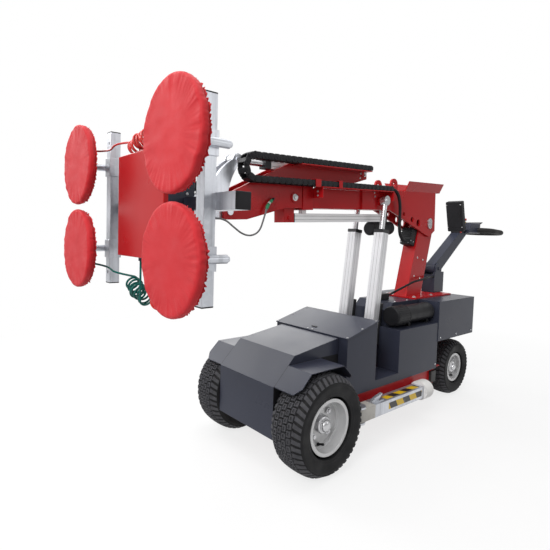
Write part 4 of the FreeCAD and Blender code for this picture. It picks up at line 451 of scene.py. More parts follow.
material("red_paint", red_paint, **SATIN)
material("dark_cover", dark_cover, **SHEET, **DULL)
material("galvanised", galvanised, bump=0.16)
material("anodised", anodised, **BRUSHED)
material("rod_chrome", chrome, bump=0.02, edge=0)
material("black_plastic", black_plastic, bump=0.25, deep=0.0001, **DULL)
material("soft_grip", soft_grip, bump=0.35, **DULL)
material("tyre_rubber", tyre_rubber, bump=0.35, deep=0.0003, edge=0, **DULL)
material("pad_rubber", pad_rubber, bump=0.3)
material("white_nylon", white_nylon, bump=0.12)
material("yellow_plastic", yellow_plastic)
material("stop_red", stop_red, bump=0.05, **GLOSS)
material("hose_red", tinted((0.62, 0.022, 0.016), 0.26), bump=0.06, edge=0, **GLOSS)
material("hose_green", tinted((0.002, 0.102, 0.084), 0.26), bump=0.06, edge=0, **DULL)
material("cable_grey", tinted((0.17, 0.17, 0.175), 0.48), edge=0)
material("plug_green", tinted((0.012, 0.22, 0.09), 0.4))
material("plug_white", tinted((0.66, 0.66, 0.64), 0.4))
material("zinc", zinc, edge=0.0006)
material("tread_rubber", tread_rubber, bump=0.3, deep=0.0003, edge=0, **DULL)
cloth_material("cover_cloth")
material("lift_barrel", anodised, (lift_groove_shade, painted_groove_shade), (lift_collar, black_plastic),
         (lift_motor, black_plastic), **BRUSHED)
material("tele_barrel", anodised_level, (tele_groove_shade, painted_groove_shade), (tele_front, black_plastic),
         (tele_rear, black_plastic), **BRUSHED)
material("tilt_barrel", anodised_level, (tilt_groove_shade, painted_groove_shade), (tilt_cap, black_plastic), **BRUSHED)
material("rotator", galvanised, (index_knob, black_plastic), bump=0.16)
material("crossbar", galvanised, (bar_ends, dark_cover), bump=0.16)
material("side_brackets", red_paint, (brackets, galvanised), bump=0.12)
material("mast", red_paint, (pin_ends, zinc), **SATIN)
material("front_hood", dark_cover, (hood_seam_shade, painted_seam_shade), **SHEET, **DULL)
material("front_rim", rim_paint, (front_hub, chrome))
material("rear_rim", rim_paint, (rear_hub, chrome))
material("tiller_head", dark_cover, (loop_rear, soft_grip), (loop_sides, soft_grip),
         (stop_base, yellow_plastic), bump=0.3, **DULL)
material("outrigger", galvanised, (arm_heel, grey_paint), (side_tape, lambda m: stripes(m, m.z)),
         (top_tape, lambda m: stripes(m, m.y)), bump=0.14)

# A node wears the look of its own name, of its pair's name or of its slot
for name, obj in nodes.items():
    pair = name.removesuffix("_left").removesuffix("_right")
    slot = obj.data.materials[0].name.split(".")[0]
    obj.data.materials[0] = MAT[next(look for look in (name, pair, slot) if look in MAT)]


# Mesh helpers


def bands(count, sides):
    """Faces that join a count of rings of as many points each."""
    pairs = [(i, (i + 1) % sides) for i in range(sides)]
    return [[k * sides + i, k * sides + j, (k + 1) * sides + j, (k + 1) * sides + i]
            for k in range(count - 1) for i, j in pairs]


def circle(radius, count, shift=0):
    """Points round the origin; shift turns them by a share of their spacing."""
    turns = [tau * (i + shift) / count for i in range(count)]
    return [(radius * cos(a), radius * sin(a)) for a in turns]


def joined(rings):
    return [v for ring in rings for v in ring]


class Pile:
    """Vertices and faces that become one piece."""

    def __init__(self):
        self.verts, self.faces = [], []

    def add(self, verts, faces):
        first = len(self.verts)
        self.verts += [tuple(v) for v in verts]
        self.faces += [[first + i for i in f] for f in faces]

    def rings(self, rings, cap=True):
        """Skin over rings of points, with both ends closed."""
        n, last = len(rings[0]), (len(rings) - 1) * len(rings[0])
        ends = [list(range(n))[::-1], [last + i for i in range(n)]] if cap else []
        self.add(joined(rings), bands(len(rings), n) + ends)

    def lathe(self, profile, frame, steps, cap=True, shift=0):
        """Revolves (radius, height) pairs in metres about a frame's Z."""
        self.rings([[frame @ Vector((u, v, h)) for u, v in circle(r, steps, shift)] for r, h in profile], cap)

    def piece(self, name, look, body=None, slot=None, angle=35, bevel=0):
        """Object of a look that rides a body; edges sharper than an angle stay sharp."""
        mesh = bpy.data.meshes.new(name)
        mesh.from_pydata(self.verts, [], self.faces)
        mesh.validate()
        mesh.shade_smooth()
        mesh.set_sharp_from_angle(angle=radians(angle))
        mesh.materials.append(MAT[look])
        obj = placed(name, mesh)
        if bevel:
            made = obj.modifiers.new("bevel", "BEVEL")
            made.width, made.segments, made.limit_method = bevel, 2, "ANGLE"
        if body:
            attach(obj, body)
        return obj


def facing(place, way):
    """Frame at a place whose Z looks along a direction."""
    return Matrix.Translation(place) @ Vector(way).to_track_quat("Z", "Y").to_matrix().to_4x4()


def nurbs(name, points, steps):
    """Curve object of one NURBS spline."""
    curve = bpy.data.curves.new(name, "CURVE")
    curve.dimensions = "3D"
    line = curve.splines.new("NURBS")
    line.points.add(len(points) - 1)
    for spot, p in zip(line.points, points):
        spot.co = (*p, 1)
    line.order_u, line.use_endpoint_u, line.resolution_u = 3, True, steps
    return placed(name, curve)


def spline_points(points):
    """Points along a route's NURBS spline."""
    holder = nurbs("route", points, 14)
    curve, mesh = holder.data, bpy.data.meshes.new_from_object(holder)
    found = [v.co.copy() for v in mesh.vertices]
    bpy.data.objects.remove(holder)
    bpy.data.curves.remove(curve)
    bpy.data.meshes.remove(mesh)
    return found


def tube(pile, points, sides, wave):
    """Tube along points; wave gives the radius at a length along it."""
    first = (points[1] - points[0]).normalized()
    across = first.orthogonal().normalized()
    rings, gone = [], 0
    for i, p in enumerate(points):
        ahead = (points[min(i + 1, len(points) - 1)] - points[max(i - 1, 0)]).normalized()
        across = (across - ahead * across.dot(ahead)).normalized()
        other = ahead.cross(across)
        if i:
            gone += (p - points[i - 1]).length
        rings.append([p + across * u + other * v for u, v in circle(wave(gone), sides)])
    pile.rings(rings)


def stepped(points, step):
    """Points a fixed step apart along a run of close points."""
    out, left = [points[0].copy()], step
    for a, b in zip(points, points[1:]):
        span = (b - a).length
        done = 0
        while span - done >= left:
            done += left
            out.append(a.lerp(b, done / span))
            left = step
        left -= span - done
    if (out[-1] - points[-1]).length > step * 0.3:
        out.append(points[-1].copy())
    return out


# Cords

COIL_RADIUS, HOSE_RADIUS = 26.3, 4
RIB_STEP, RIB_DEPTH, RIB_PITCH = 0.0011, 0.0012, 0.0062  # of the conduit, in metres


def hose(node, sign, port, first, last, quarters, fitting, look):
    """Curly hose: lead from the cup, coil, and tail to its fitting, as one NURBS spline."""
    port, first, last, fitting = (Vector(v) for v in (port, first, last, fitting))
    axis = (last - first).normalized()
    rise = (Vector((0, 0, 1)) - axis * axis.z).normalized()
    slope = 0.2 * (first.z - port.z)
    lead = ((0, 0, 0), (8, 0, 0), (26, -18, slope * 0.25), (44, -52, slope * 0.7), (48, -92, slope * 1.15),
            (44, -134, (first.z + 26 - port.z) * 0.72))
    route = [port + Vector(v) for v in lead]
    turns, per = quarters / 4, 16
    count = round(turns * per)
    for i in range(count + 1):
        a = tau * turns * i / count
        calm = min(1, i / per, (count - i) / per)
        wobble = 1 + 0.16 * calm * sin(0.83 * a + port.z)
        ring = (rise * cos(a) + Vector((1, 0, 0)) * sin(a)) * COIL_RADIUS * wobble
        along, off = 2.6 * calm * sin(0.31 * a + 1.7), 4 * calm * sin(0.47 * a + 0.6)
        route.append(first + (last - first) * (i / count) + ring + (axis * along + rise * off))
    down = Vector((0, 0, -1 if fitting.z < last.z else 1))
    route += [fitting - down * 22, fitting - down * 10, fitting]
    points = [at(p.x, sign * p.y, p.z) for p in route]
    obj = nurbs(node + "_tube", points, 3)
    curve = obj.data
    curve.bevel_depth, curve.bevel_resolution, curve.use_fill_caps = HOSE_RADIUS / 1000, 3, True
    curve.materials.append(MAT[look])
    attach(obj, "suction_frame")
    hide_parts(node)


for (side, sign), upper, lower in zip(SIDES[::-1], ("hose_red", "hose_green"), ("hose_green", "hose_red")):
    hose(f"upper_hose_{side}", sign, (-690, CUP_SIDE, 1258), (-600, 176, 1252), (-600, 42, 1280), 37,
         (-574, 42, 1228), upper)
    hose(f"lower_hose_{side}", sign, (-690, CUP_SIDE, 806), (-600, 176, 745), (-600, 42, 699), 35,
         (-626, 42, 837), lower)

head_route = [at(-301.02 + dx, -62 + out, 1025.96 + dz) for dx, out, dz in (
    (226, 16, 66), (206, 0, 60), (178, 0, 36), (160, 0, -20), (140, 0, -72), (98, 0, -92), (52, 0, -86),
    (6, 0, -58), (-36, 4, -28), (-78.97, 4, -28))]
boom_route = [at(*p) for p in (
    (708.1, -81, 1192.6), (750.1, -81, 1194.3), (792, -79, 1170), (816, -76, 1120), (825, -72, 1062),
    (832, -66, 1006), (856, -58, 960), (902, -46, 932), (954, -32, 922), (1009, -20, 926))]
tiller_route = [at(*p) for p in (
    (825, 0, 617), (865, 0, 617), (909, -22, 643), (961, -46, 669), (1016, -62, 694), (1082, -68, 700),
    (1148, -66, 708), (1200, -52, 712), (1246, -32, 708), (1289, -32, 708))]


def cable(node, line, radius, look, ribbed=False, extras=()):
    """Mesh tube along a line that runs between two bodies."""
    pile = Pile()
    if ribbed:
        tube(pile, stepped(line, RIB_STEP), 16,
             lambda g: radius - RIB_DEPTH + RIB_DEPTH * cos(tau * g / RIB_PITCH))
    else:
        tube(pile, line, 14, lambda g: radius)
    obj = pile.piece(node + "_line", look, angle=80 if ribbed else 60)
    for piece in (*extras, obj):
        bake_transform(piece)
    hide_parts(node)


def sleeve(name, line, begin, end, radii, look):
    """Sleeve round a cord between two lengths along it in millimetres."""
    part = stepped(line, 0.001)[begin:end + 1]
    size = (len(part) - 1) * 0.001
    xs = np.linspace(0, 1, len(radii))
    pile = Pile()
    tube(pile, part, 18, lambda g: float(np.interp(g / size, xs, radii)))
    return pile.piece(name, look, slot="black_plastic", angle=40)


head_line, boom_line, tiller_line = (spline_points(v) for v in (head_route, boom_route, tiller_route))
plug_parts = [sleeve("plug_" + kind, head_line, *rest) for kind, *rest in (
    ("tail", 12, 30, (0.0052, 0.0062, 0.0062, 0.0056), "black_plastic"),
    ("collar", 30, 46, (0.006, 0.0072, 0.0072, 0.006), "plug_green"),
    ("ring", 46, 54, (0.006, 0.0064, 0.006), "plug_white"),
    ("body", 54, 78, (0.0066, 0.0072, 0.007, 0.0058), "plug_green"),
    ("relief", 78, 96, (0.0056, 0.005, 0.0042, 0.0038), "cable_grey"))]
cable("head_cable", head_line, 0.0035, "cable_grey", extras=plug_parts)
cable("boom_conduit", boom_line, 0.009, "black_plastic", ribbed=True)
cable("tiller_cable", tiller_line, 0.006, "black_plastic")


# Cloth covers

PAD_EDGE, COVER_EDGE, COVER_FACE = 149.8, 158.5, -756.5  # limits of the cloth's radius and station


def cover(pile, cy, cz, seed):
    """Round cover over a cup: flat face, soft rim, gathered side and a frilled hem."""
    sectors = 400
    # (radius, station) along the cut from the centre to the frill's edge
    profile = [(r, -751) for r in (0.5, 14, 28, 42, 56, 70, 84, 96, 108, 118, 126, 133, 139, 144)]
    flat = len(profile)
    profile += [(147.5, -750.6), (150.4, -749.4), (152.6, -747.4), (153.8, -744.6), (154.2, -741),
                (154.2, -737), (153.8, -733), (152.8, -729.6), (150.8, -727), (148.4, -725.4),
                (146, -724.2), (144.2, -722.8), (144.6, -721.2), (146, -719.8), (147.8, -718.6)]
    hem = len(profile) - 6
    wrap = range(flat + 3, flat + 8)  # rings round the pad's edge
    rings = []
    for k, (r, s) in enumerate(profile):
        ring = []
        for i in range(sectors):
            a = tau * i / sectors
            ca, sa = cos(a), sin(a)
            where = Vector((r * ca / 60 + seed * 7.3, r * sa / 60, seed * 3.1))
            slack = noise.noise(where) * 1.9 + noise.noise(where * 2.7) * 0.8
            pull = noise.noise(Vector((ca * 5.2 + seed, sa * 5.2, seed * 1.7)))
            fine = noise.noise(Vector((ca * 15 + seed * 2, sa * 15, seed * 0.7 + s / 90)))
            frill = noise.noise(Vector((ca * 24 + seed * 3, sa * 24, seed + s / 40)))
            if k < flat:
                rim = max(0, (r - 70) / 80) ** 2
                dr, ds = 0, slack * (0.35 + 0.85 * rim) + rim * (pull * 2.4 + fine * 1.6)
            else:
                deep = min(1, (k + 1 - flat) / 9)
                dr = pull * 1.6 * deep + fine * 2.2 * deep - 0.3
                ds = (slack * 1.2 + pull * 2.4 + fine * 1.6) * (1 - deep) + pull * 1.4 * deep
                if k > hem:
                    ruffle = (k - hem) / 5
                    dr += ruffle * (frill * 6 + sin(a * 58 + 5 * pull) * 1.8)
                    ds += ruffle * (frill * 1.8 + fine * 1.8)
            rr = r + dr
            if k in wrap:
                rr = max(rr, PAD_EDGE)
            rr = min(rr, COVER_EDGE)
            ring.append(at(max(s + ds, COVER_FACE), cy + rr * ca, cz + rr * sa))
        rings.append(ring)
    faces = [[a, d, c, b] for a, b, c, d in bands(len(rings), sectors)]
    pile.add(joined(rings), faces + [list(range(sectors))])


for row, height in (("lower", 868), ("upper", 1196)):
    for side, sign in SIDES:
        pile = Pile()
        cover(pile, sign * CUP_SIDE, height, 1 + (row == "upper") * 2 + (sign > 0))
        obj = pile.piece(f"{row}_cover_{side}", "cover_cloth", "suction_frame", angle=180)
        thick = obj.modifiers.new("cloth", "SOLIDIFY")
        thick.thickness, thick.offset = 0.0009, 1
        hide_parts(f"{row}_covers")


# Energy chain

# In boom coordinates: the chain's side, the rear ends of its lower and upper run, and its loop
CHAIN_SIDE, CHAIN_FIXED, CHAIN_MOVING = -81, -455, -645
CHAIN_LOOP, CHAIN_LOW, CHAIN_BEND = -1384, 181, 45
LOWER_RUN, UPPER_RUN, LOOP_RUN = CHAIN_FIXED - CHAIN_LOOP, CHAIN_MOVING - CHAIN_LOOP, pi * CHAIN_BEND
LINKS = 56
LINK_PITCH = (LOWER_RUN + LOOP_RUN + UPPER_RUN) / LINKS

# Plates of a link: length and shift in pitches, height, corner, inner and outer face
LINK_PLATES = ((0.98, 0, 25.2, 9, 20, 23.4), (0.74, 0.5, 21.5, 8, 17.2, 20.2))
BOSS_SHIFT, BOSS_FOOT, BOSSES = 0.1, 23, ((8.6, 24.1), (6.6, 24.9))  # radius and face of each boss
BAR_LENGTH, BAR_HEIGHT, BAR_REACH, BAR_OFF = 18, 3, 20.5, 11.6


def chain_place(g):
    """Place, height and heading of the chain's centre line at a length from its fixed end."""
    middle = CHAIN_LOW + CHAIN_BEND
    if g <= LOWER_RUN:
        return CHAIN_FIXED - g, CHAIN_LOW, pi
    if g <= LOWER_RUN + LOOP_RUN:
        a = (g - LOWER_RUN) / CHAIN_BEND
        return CHAIN_LOOP - CHAIN_BEND * sin(a), middle - CHAIN_BEND * cos(a), pi - a
    return CHAIN_LOOP + (g - LOWER_RUN - LOOP_RUN), middle + CHAIN_BEND, 0


def stadium(length, height, corner, steps=4):
    """Rounded outline about the origin."""
    out, u, v = [], length / 2 - corner, height / 2 - corner
    for cx, cy, a0 in ((1, 1, 0), (-1, 1, 90), (-1, -1, 180), (1, -1, 270)):
        for i in range(steps + 1):
            a = radians(a0 + 90 * i / steps)
            out.append((cx * u + corner * cos(a), cy * v + corner * sin(a)))
    return out


def chain_link(pile, x, h, heading):
    """One link: two joggled side plates with pivot bosses, and two cross bars."""
    c, s = cos(heading), sin(heading)

    def spot(t, n, y):
        return on_boom(x + t * c - n * s, CHAIN_SIDE + y, h + t * s + n * c)

    def plate(outline, faces, shift):
        pile.rings([[spot(LINK_PITCH * shift + u, v, y) for u, v in outline] for y in sorted(faces)])

    for sign in (-1, 1):
        for share, shift, tall, corner, inner, outer in LINK_PLATES:
            plate(stadium(LINK_PITCH * share, tall, corner), (sign * inner, sign * outer), shift)
        for radius, outer in BOSSES:
            plate(circle(radius, 18), (sign * BOSS_FOOT, sign * outer), BOSS_SHIFT)
    u, v = BAR_LENGTH / 2, BAR_HEIGHT / 2
    for n in (-BAR_OFF, BAR_OFF):
        plate([(-u, n - v), (u, n - v), (u, n + v), (-u, n + v)], (-BAR_REACH, BAR_REACH), 0)


lower, upper = Pile(), Pile()
for i in range(LINKS):
    g = LINK_PITCH * (i + 0.5)
    chain_link(lower if g < LOWER_RUN + LOOP_RUN / 2 else upper, *chain_place(g))
tip = CHAIN_LOOP - CHAIN_BEND
for name, pile, *ends in (("chain_lower", lower, CHAIN_FIXED, 2 * tip - CHAIN_FIXED),
                          ("chain_upper", upper, 2 * tip - CHAIN_MOVING, CHAIN_MOVING)):
    obj = pile.piece(name, "black_plastic", angle=30)
    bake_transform(obj)
    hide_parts("energy_chain")


# Tyres


def tyre(end, side, centre, radius, half, bead_radius, blocks):
    """Turf tyre: carcass, rows of hollow tread blocks, curved shoulder lugs and ringed side walls."""
    deep = radius * 0.032
    ys = np.array([0, 0.25, 0.5, 0.7, 0.83, 0.93, 0.985, 1, 0.985, 0.94, 0.88]) * half
    share = np.array([1, 0.994, 0.974, 0.938, 0.893, 0.83, 0.76, 0.68, 0.52, 0.3, 0.1])
    rs = bead_radius + (radius - bead_radius) * share
    bend = np.concatenate([[0], np.cumsum(np.hypot(np.diff(ys), np.diff(rs)))])
    run = np.linspace(0, bend[-1], 60)

    def smooth(v):
        fine = np.interp(run, bend, v)
        for _ in range(10):
            fine[1:-1] = (fine[:-2] + 2 * fine[1:-1] + fine[2:]) / 4
        return fine

    py, pr = smooth(ys), smooth(rs)
    py[0] = 0

    def skin(u, drop):
        """(across, radius) at a signed length from the crown, sunk by a depth."""
        g = abs(u)
        y, r = np.interp(g, run, py), np.interp(g, run, pr)
        y2, r2 = np.interp(g + 1, run, py), np.interp(g + 1, run, pr)
        ty, tr = y2 - y, r2 - r
        size = hypot(ty, tr) or 1
        y, r = y + drop * tr / size, r - drop * ty / size
        return copysign(y, u), r

    def spot(u, a, drop):
        y, r = skin(u, drop)
        return at(centre[0] + r * cos(a), centre[1] + y, centre[2] + r * sin(a))

    pile = Pile()
    steps = 120
    tread = half * 1.02
    profile = []
    for u in np.concatenate([-run[::-1], run[1:]]):
        drop = deep if abs(u) < tread else deep * max(0, 1 - (abs(u) - tread) / (half * 0.22))
        down_wall = abs(u) / run[-1]
        ring = 0.9 if 0.6 < down_wall < 0.64 or 0.9 < down_wall < 0.93 else 0
        profile.append((u, drop - ring))
    profile = [(-run[-1], deep + 4)] + profile + [(run[-1], deep + 4)]
    n = len(profile)
    verts = [spot(u, tau * i / steps, drop) for i in range(steps) for u, drop in profile]
    starts = [(i * n, (i + 1) % steps * n) for i in range(steps)]
    faces = [[a + k, a + k + 1, b + k + 1, b + k] for a, b in starts for k in range(n - 1)]
    faces += [[b, b + n - 1, a + n - 1, a] for a, b in starts]
    pile.add(verts, faces)
    tops = Pile()

    def block(u0, u1, a0, a1, lean, hollow):
        """Raised block with sloping flanks and, in the middle rows, a sunk window."""
        def quad(inset, drop):
            du, da = inset, inset / radius
            corners = [(u0 + du, a0 + da), (u1 - du, a0 + da), (u1 - du, a1 - da), (u0 + du, a1 - da)]
            return [spot(u, a + lean * (u - u0) / radius, drop) for u, a in corners]
        loops = [quad(-0.8, deep + 0.4), quad(0.6, 0.4), quad(1.2, 0)]
        if hollow:
            wide = min(u1 - u0, (a1 - a0) * radius)
            loops += [quad(wide * 0.25, 0), quad(wide * 0.3, deep * 0.62)]
        last = (len(loops) - 1) * 4
        tops.add(joined(loops), bands(len(loops), 4) + [[last + i for i in range(4)]])

    gap, rows = 4.2, 4
    width = (half * 1.16) / rows
    step = tau / blocks
    for row in range(rows):
        u0 = -half * 0.58 + row * width
        for i in range(blocks):
            a = step * (i + 0.5 * (row % 2))
            block(u0 + gap / 2, u0 + width - gap / 2, a, a + step - gap * 1.5 / radius, 0.12, True)
    for sign in (-1, 1):
        for i in range(blocks):
            a = step * (i + 0.25)
            lug = sorted((sign * (half * 0.58 + gap / 2), sign * half * 1.1))
            block(*lug, a, a + step * 0.62, sign * 0.3, False)
    for part, heap, look in (("carcass", pile, "tyre_rubber"), ("blocks", tops, "tread_rubber")):
        obj = heap.piece(f"{end}_tread_{side}_{part}", look, f"{end}_wheel_{side}", angle=28)
        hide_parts(f"{end}_tyre_{side}")


for side, sign in SIDES:
    tyre("front", side, (0, sign * 260, FRONT_RADIUS), FRONT_RADIUS, 79.4, 113, 44)
    tyre("rear", side, (WHEELBASE, sign * 112, REAR_RADIUS), REAR_RADIUS, 61.6, 86, 40)


# Screws and small fittings

# Radii of heads, sticks, keys and latches in millimetres
COVER_HEAD, MAST_HEAD, FRAME_HEAD, SOCKET_HEAD, HANDSET_HEAD = 4.6, 5.4, 5, 3.6, 3.4
DECK_HEX, NOSE_HEX, PIN_HEX, NUT_HEX = 8, 9, 11, 9
STICK, KEY, LATCH = 14, 5.5, 8

# Width, height and depth of bricks
SOCKET_RIB, SOCKET_SIDE_RIB, LID_LATCH = (46, 6.5, 3), (38, 6.5, 2.4), (30, 9, 2.6)
HANDSET_FRONT, HANDSET_REAR = (84, 150, 1.6), (90, 96, 1.6)

# Pixels of the photo that show fittings
BOX_PIXELS = ((352.5, 390.4), (402.4, 375))
SIDE_BOX_PIXELS = ((435, 364.1),)
MAST_PIXELS = ((417.4, 257.8), (422.7, 259.9), (413.9, 276), (419.5, 278.2))
VACUUM_PIXELS = ((187, 194),)
BOOM_PIXELS = ((317.9, 191.2), (317.9, 195.4), (374.5, 192.7), (375, 196.5))
NOSE_BOLT_PIXELS = ((294.6, 217.2), (364.6, 174.3))
NOSE_SCREW_PIXELS = ((360.7, 173.6), (360, 178.2))
LATCH_PIXELS = ((314.4, 326.4),)

# Stations and sides of fittings on top
LID_SCREWS = ((225, -217), (330, -217), (432, -217), (225, -15))
CENTRE_SCREWS = ((780, -92), (900, -92))
DECK_BOLTS = ((985, -84), (1170, -84))

# Stations and heights of fittings at the sides
REAR_SCREWS = ((1030, 400), (1210, 400), (1395, 400))
NOSE_PIN = (boom_mm(-1121, 119.5),)
SOCKET_SIDE_RIBS = [(1032 - 3.5 * k, 986 - 13 * k) for k in range(4)]
SOCKET_SIDE_SCREWS = ((1012, 928), (1040, 920))
HANDSET_LATCHES = ((1624, 992), (1632, 1180))

# Sides and heights of fittings at the front and the rear
SOCKET_RIBS = ((0, 992), (0, 979), (0, 966), (0, 953))
SOCKET_SCREW = ((-23, 917),)
HANDSET_FACE, HANDSET_BACK, HANDSET_STICK = ((0, 1092),), ((0, 1122),), ((-24, 1142),)
HANDSET_KEYS = ((-34, 1098), (-12, 1098))
HANDSET_SCREWS = ((-45, 1020), (-45, 1164))

SKIN = {}


def seat(node, start, way):
    """Place and outward direction where a line from a point first meets a node."""
    if node not in SKIN:
        obj = nodes[node]
        SKIN[node] = BVHTree.FromPolygons([obj.matrix_world @ v.co for v in obj.data.vertices],
                                          [list(f.vertices) for f in obj.data.polygons])
    place, normal, _, _ = SKIN[node].ray_cast(start, way)
    if place is None:
        return None
    return place, -normal if normal.dot(way) > 0 else normal


def aim(u, v):
    """Line of sight through a pixel of the photo."""
    way = ahead + right * ((u - CENTRE_U) / FOCAL) - up * ((v - CENTRE_V) / FOCAL)
    return camera.location.copy(), way.normalized()


def button(pile, place, way, size):
    """Round screw head with a socket; size is its radius in millimetres."""
    r, h = size / 1000, size * 0.62 / 1000
    pile.lathe([(r, -0.0005), (r, h * 0.45), (r * 0.88, h * 0.8), (r * 0.62, h), (r * 0.42, h),
                (r * 0.38, h * 0.4), (r * 0.02, h * 0.4)], facing(place, way), 20)


def hexagon(pile, place, way, size):
    """Hexagon head on a washer; size is the radius of its corners in millimetres."""
    r = size / 1000
    axes = facing(place, way)
    pile.lathe([(r * 1.4, -0.0005), (r * 1.4, r * 0.12), (r * 1.3, r * 0.18)], axes, 24)
    pile.lathe([(r, r * 0.18), (r, r * 0.72)], axes, 6, shift=0.3)
    pile.lathe([(r * 0.84, r * 0.72), (r * 0.78, r * 0.8), (r * 0.1, r * 0.8)], axes, 24)


BRICK = [[0, 1, 3, 2], [4, 6, 7, 5], [0, 4, 5, 1], [2, 3, 7, 6], [0, 2, 6, 4], [1, 5, 7, 3]]


def brick(pile, place, way, size):
    """Low block on a surface; size is its width, height and depth in millimetres."""
    wide, tall, proud = (v / 1000 for v in size)
    along = Vector((0, 1, 0)) if abs(way.y) < 0.7 else Vector((1, 0, 0))
    along = (along - way * along.dot(way)).normalized()
    rise = way.cross(along)
    corners = [place + along * a * wide / 2 + rise * b * tall / 2 + way * c
               for a in (-1, 1) for b in (-1, 1) for c in (-0.001, proud)]
    pile.add(corners, BRICK)


def turned(profile):
    """Kind of head that is revolved; its profile is in shares of its radius."""
    def head(pile, place, way, size):
        pile.lathe([(r * size / 1000, h * size / 1000) for r, h in profile], facing(place, way), 24)
    return head


# Joystick with its rubber boot, and round push button with a soft edge
stick = turned([(1, -0.04), (1, 0.14), (0.9, 0.34), (0.8, 0.4), (0.84, 0.6), (0.63, 0.73), (0.66, 0.93),
                (0.37, 1.1), (0.28, 1.3), (0.28, 1.9), (0.5, 2.2), (0.57, 2.6), (0.46, 2.95), (0.02, 3.1)])
push = turned([(1.15, -0.1), (1.15, 0.2), (1, 0.3), (1, 0.6), (0.85, 0.8), (0.02, 0.86)])


def fitted(name, look, body, *jobs, slot=None, bevel=0):
    """Piece of heads; a job sets a kind of head where lines meet a node, on both sides or those it names."""
    pile = Pile()
    for head, node, size, line, places, *sides in jobs:
        for start, way in (line(*place) for place in places):
            for sign in sides or (1, -1):
                turn = Vector((1, sign, 1))
                found = seat(node, start * turn, way * turn)
                if found:
                    head(pile, *found, size)
    pile.piece(name, look, body, slot=slot, bevel=bevel)


def down(s, y):
    """Line from above."""
    return at(s, y, BEYOND), Vector((0, 0, -1))


def inward(s, z, y=-BESIDE):
    """Line from the left side, or from the right."""
    return at(s, y, z), Vector((0, 1 if y < 0 else -1, 0))


def rearward(y, z):
    """Line from the front."""
    return at(-BESIDE, y, z), Vector((1, 0, 0))


def forward(y, z):
    """Line from the rear."""
    return at(BEYOND, y, z), Vector((-1, 0, 0))


fitted("cover_screws", "zinc", "chassis",
       (button, "front_lid", COVER_HEAD, down, LID_SCREWS),
       (button, "front_box", COVER_HEAD, aim, BOX_PIXELS),
       (button, "side_boxes", COVER_HEAD, aim, SIDE_BOX_PIXELS),
       (button, "centre_cover", COVER_HEAD, down, CENTRE_SCREWS),
       (button, "rear_cover", COVER_HEAD, inward, REAR_SCREWS))
fitted("mast_bolts", "zinc", "chassis", (button, "mast", MAST_HEAD, aim, MAST_PIXELS),
       (hexagon, "mast", DECK_HEX, down, DECK_BOLTS))
fitted("box_screws", "zinc", "suction_frame", (button, "vacuum_box", FRAME_HEAD, aim, VACUUM_PIXELS))
fitted("boom_screws", "zinc", "boom", (button, "boom_outer", FRAME_HEAD, aim, BOOM_PIXELS))
fitted("nose_bolts", "zinc", "telescope", (hexagon, "boom_nose", PIN_HEX, inward, NOSE_PIN),
       (hexagon, "boom_nose", NOSE_HEX, aim, NOSE_BOLT_PIXELS),
       (button, "boom_nose", FRAME_HEAD, aim, NOSE_SCREW_PIXELS))


def rim_fittings(end, side, sign, station, height, nut_ring, cap, reach):
    """Hub cap, four nuts and a valve on the outer face of a rim; radii are in millimetres."""
    node, body = f"{end}_rim_{side}", f"{end}_wheel_{side}"

    def spot(out, turn):
        s, z = station + out * cos(turn), height + out * sin(turn)
        return seat(node, *inward(s, z, sign * BESIDE))

    nuts, valve, r = Pile(), Pile(), cap / 1000
    nuts.lathe([(r * 1.12, -0.0005), (r * 1.12, r * 0.1), (r, r * 0.14), (r * 0.96, r * 0.34),
                (r * 0.84, r * 0.52), (r * 0.6, r * 0.66), (r * 0.3, r * 0.73), (r * 0.02, r * 0.75)],
               facing(*spot(0, 0)), 36)
    for i in range(4):
        hexagon(nuts, *spot(nut_ring, tau * (i + 0.5) / 4), NUT_HEX)
    nuts.piece(node + "_nuts", "rod_chrome", body, slot="galvanised")
    place, way = spot(reach, radians(-96))
    valve.lathe([(0.0075, -0.001), (0.007, 0.004), (0.0048, 0.008), (0.0042, 0.02), (0.005, 0.021),
                 (0.005, 0.03), (0.0036, 0.032), (0.0002, 0.032)],
                facing(place, way + Vector((0, 0, 0.35))), 18)
    valve.piece(node + "_valve", "black_plastic", body)


# Station and height of an axle, radii of its nut circle and hub caps, and reach of its valves
for end, *sizes in (("front", 0, FRONT_RADIUS, 59.2, 25, 84),
                    ("rear", WHEELBASE, REAR_RADIUS, 43.5, 20, 60)):
    for side, sign in SIDES:
        rim_fittings(end, side, sign, *sizes)

fitted("socket_ribs", "black_plastic", "chassis",
       (brick, "cable_boxes", SOCKET_RIB, rearward, SOCKET_RIBS, 1),
       (brick, "cable_boxes", SOCKET_SIDE_RIB, inward, SOCKET_SIDE_RIBS), bevel=0.0008)
fitted("socket_screws", "zinc", "chassis",
       (button, "cable_boxes", SOCKET_HEAD, rearward, SOCKET_SCREW),
       (button, "cable_boxes", SOCKET_HEAD, inward, SOCKET_SIDE_SCREWS))
fitted("handset_panels", "black_plastic", "tiller",
       (brick, "handset", HANDSET_FRONT, rearward, HANDSET_FACE, 1),
       (brick, "handset", HANDSET_REAR, forward, HANDSET_BACK, 1),
       (stick, "handset", STICK, forward, HANDSET_STICK), bevel=0.0006)
fitted("handset_keys", "yellow_plastic", "tiller",
       (push, "handset", KEY, forward, HANDSET_KEYS), slot="stop_red")
fitted("handset_screws", "zinc", "tiller", (button, "handset", HANDSET_HEAD, rearward, HANDSET_SCREWS))
fitted("handset_latches", "stop_red", "tiller", (push, "handset", LATCH, inward, HANDSET_LATCHES, 1))
fitted("lid_latch", "black_plastic", "chassis",
       (brick, "front_lid", LID_LATCH, aim, LATCH_PIXELS, 1), bevel=0.0008)

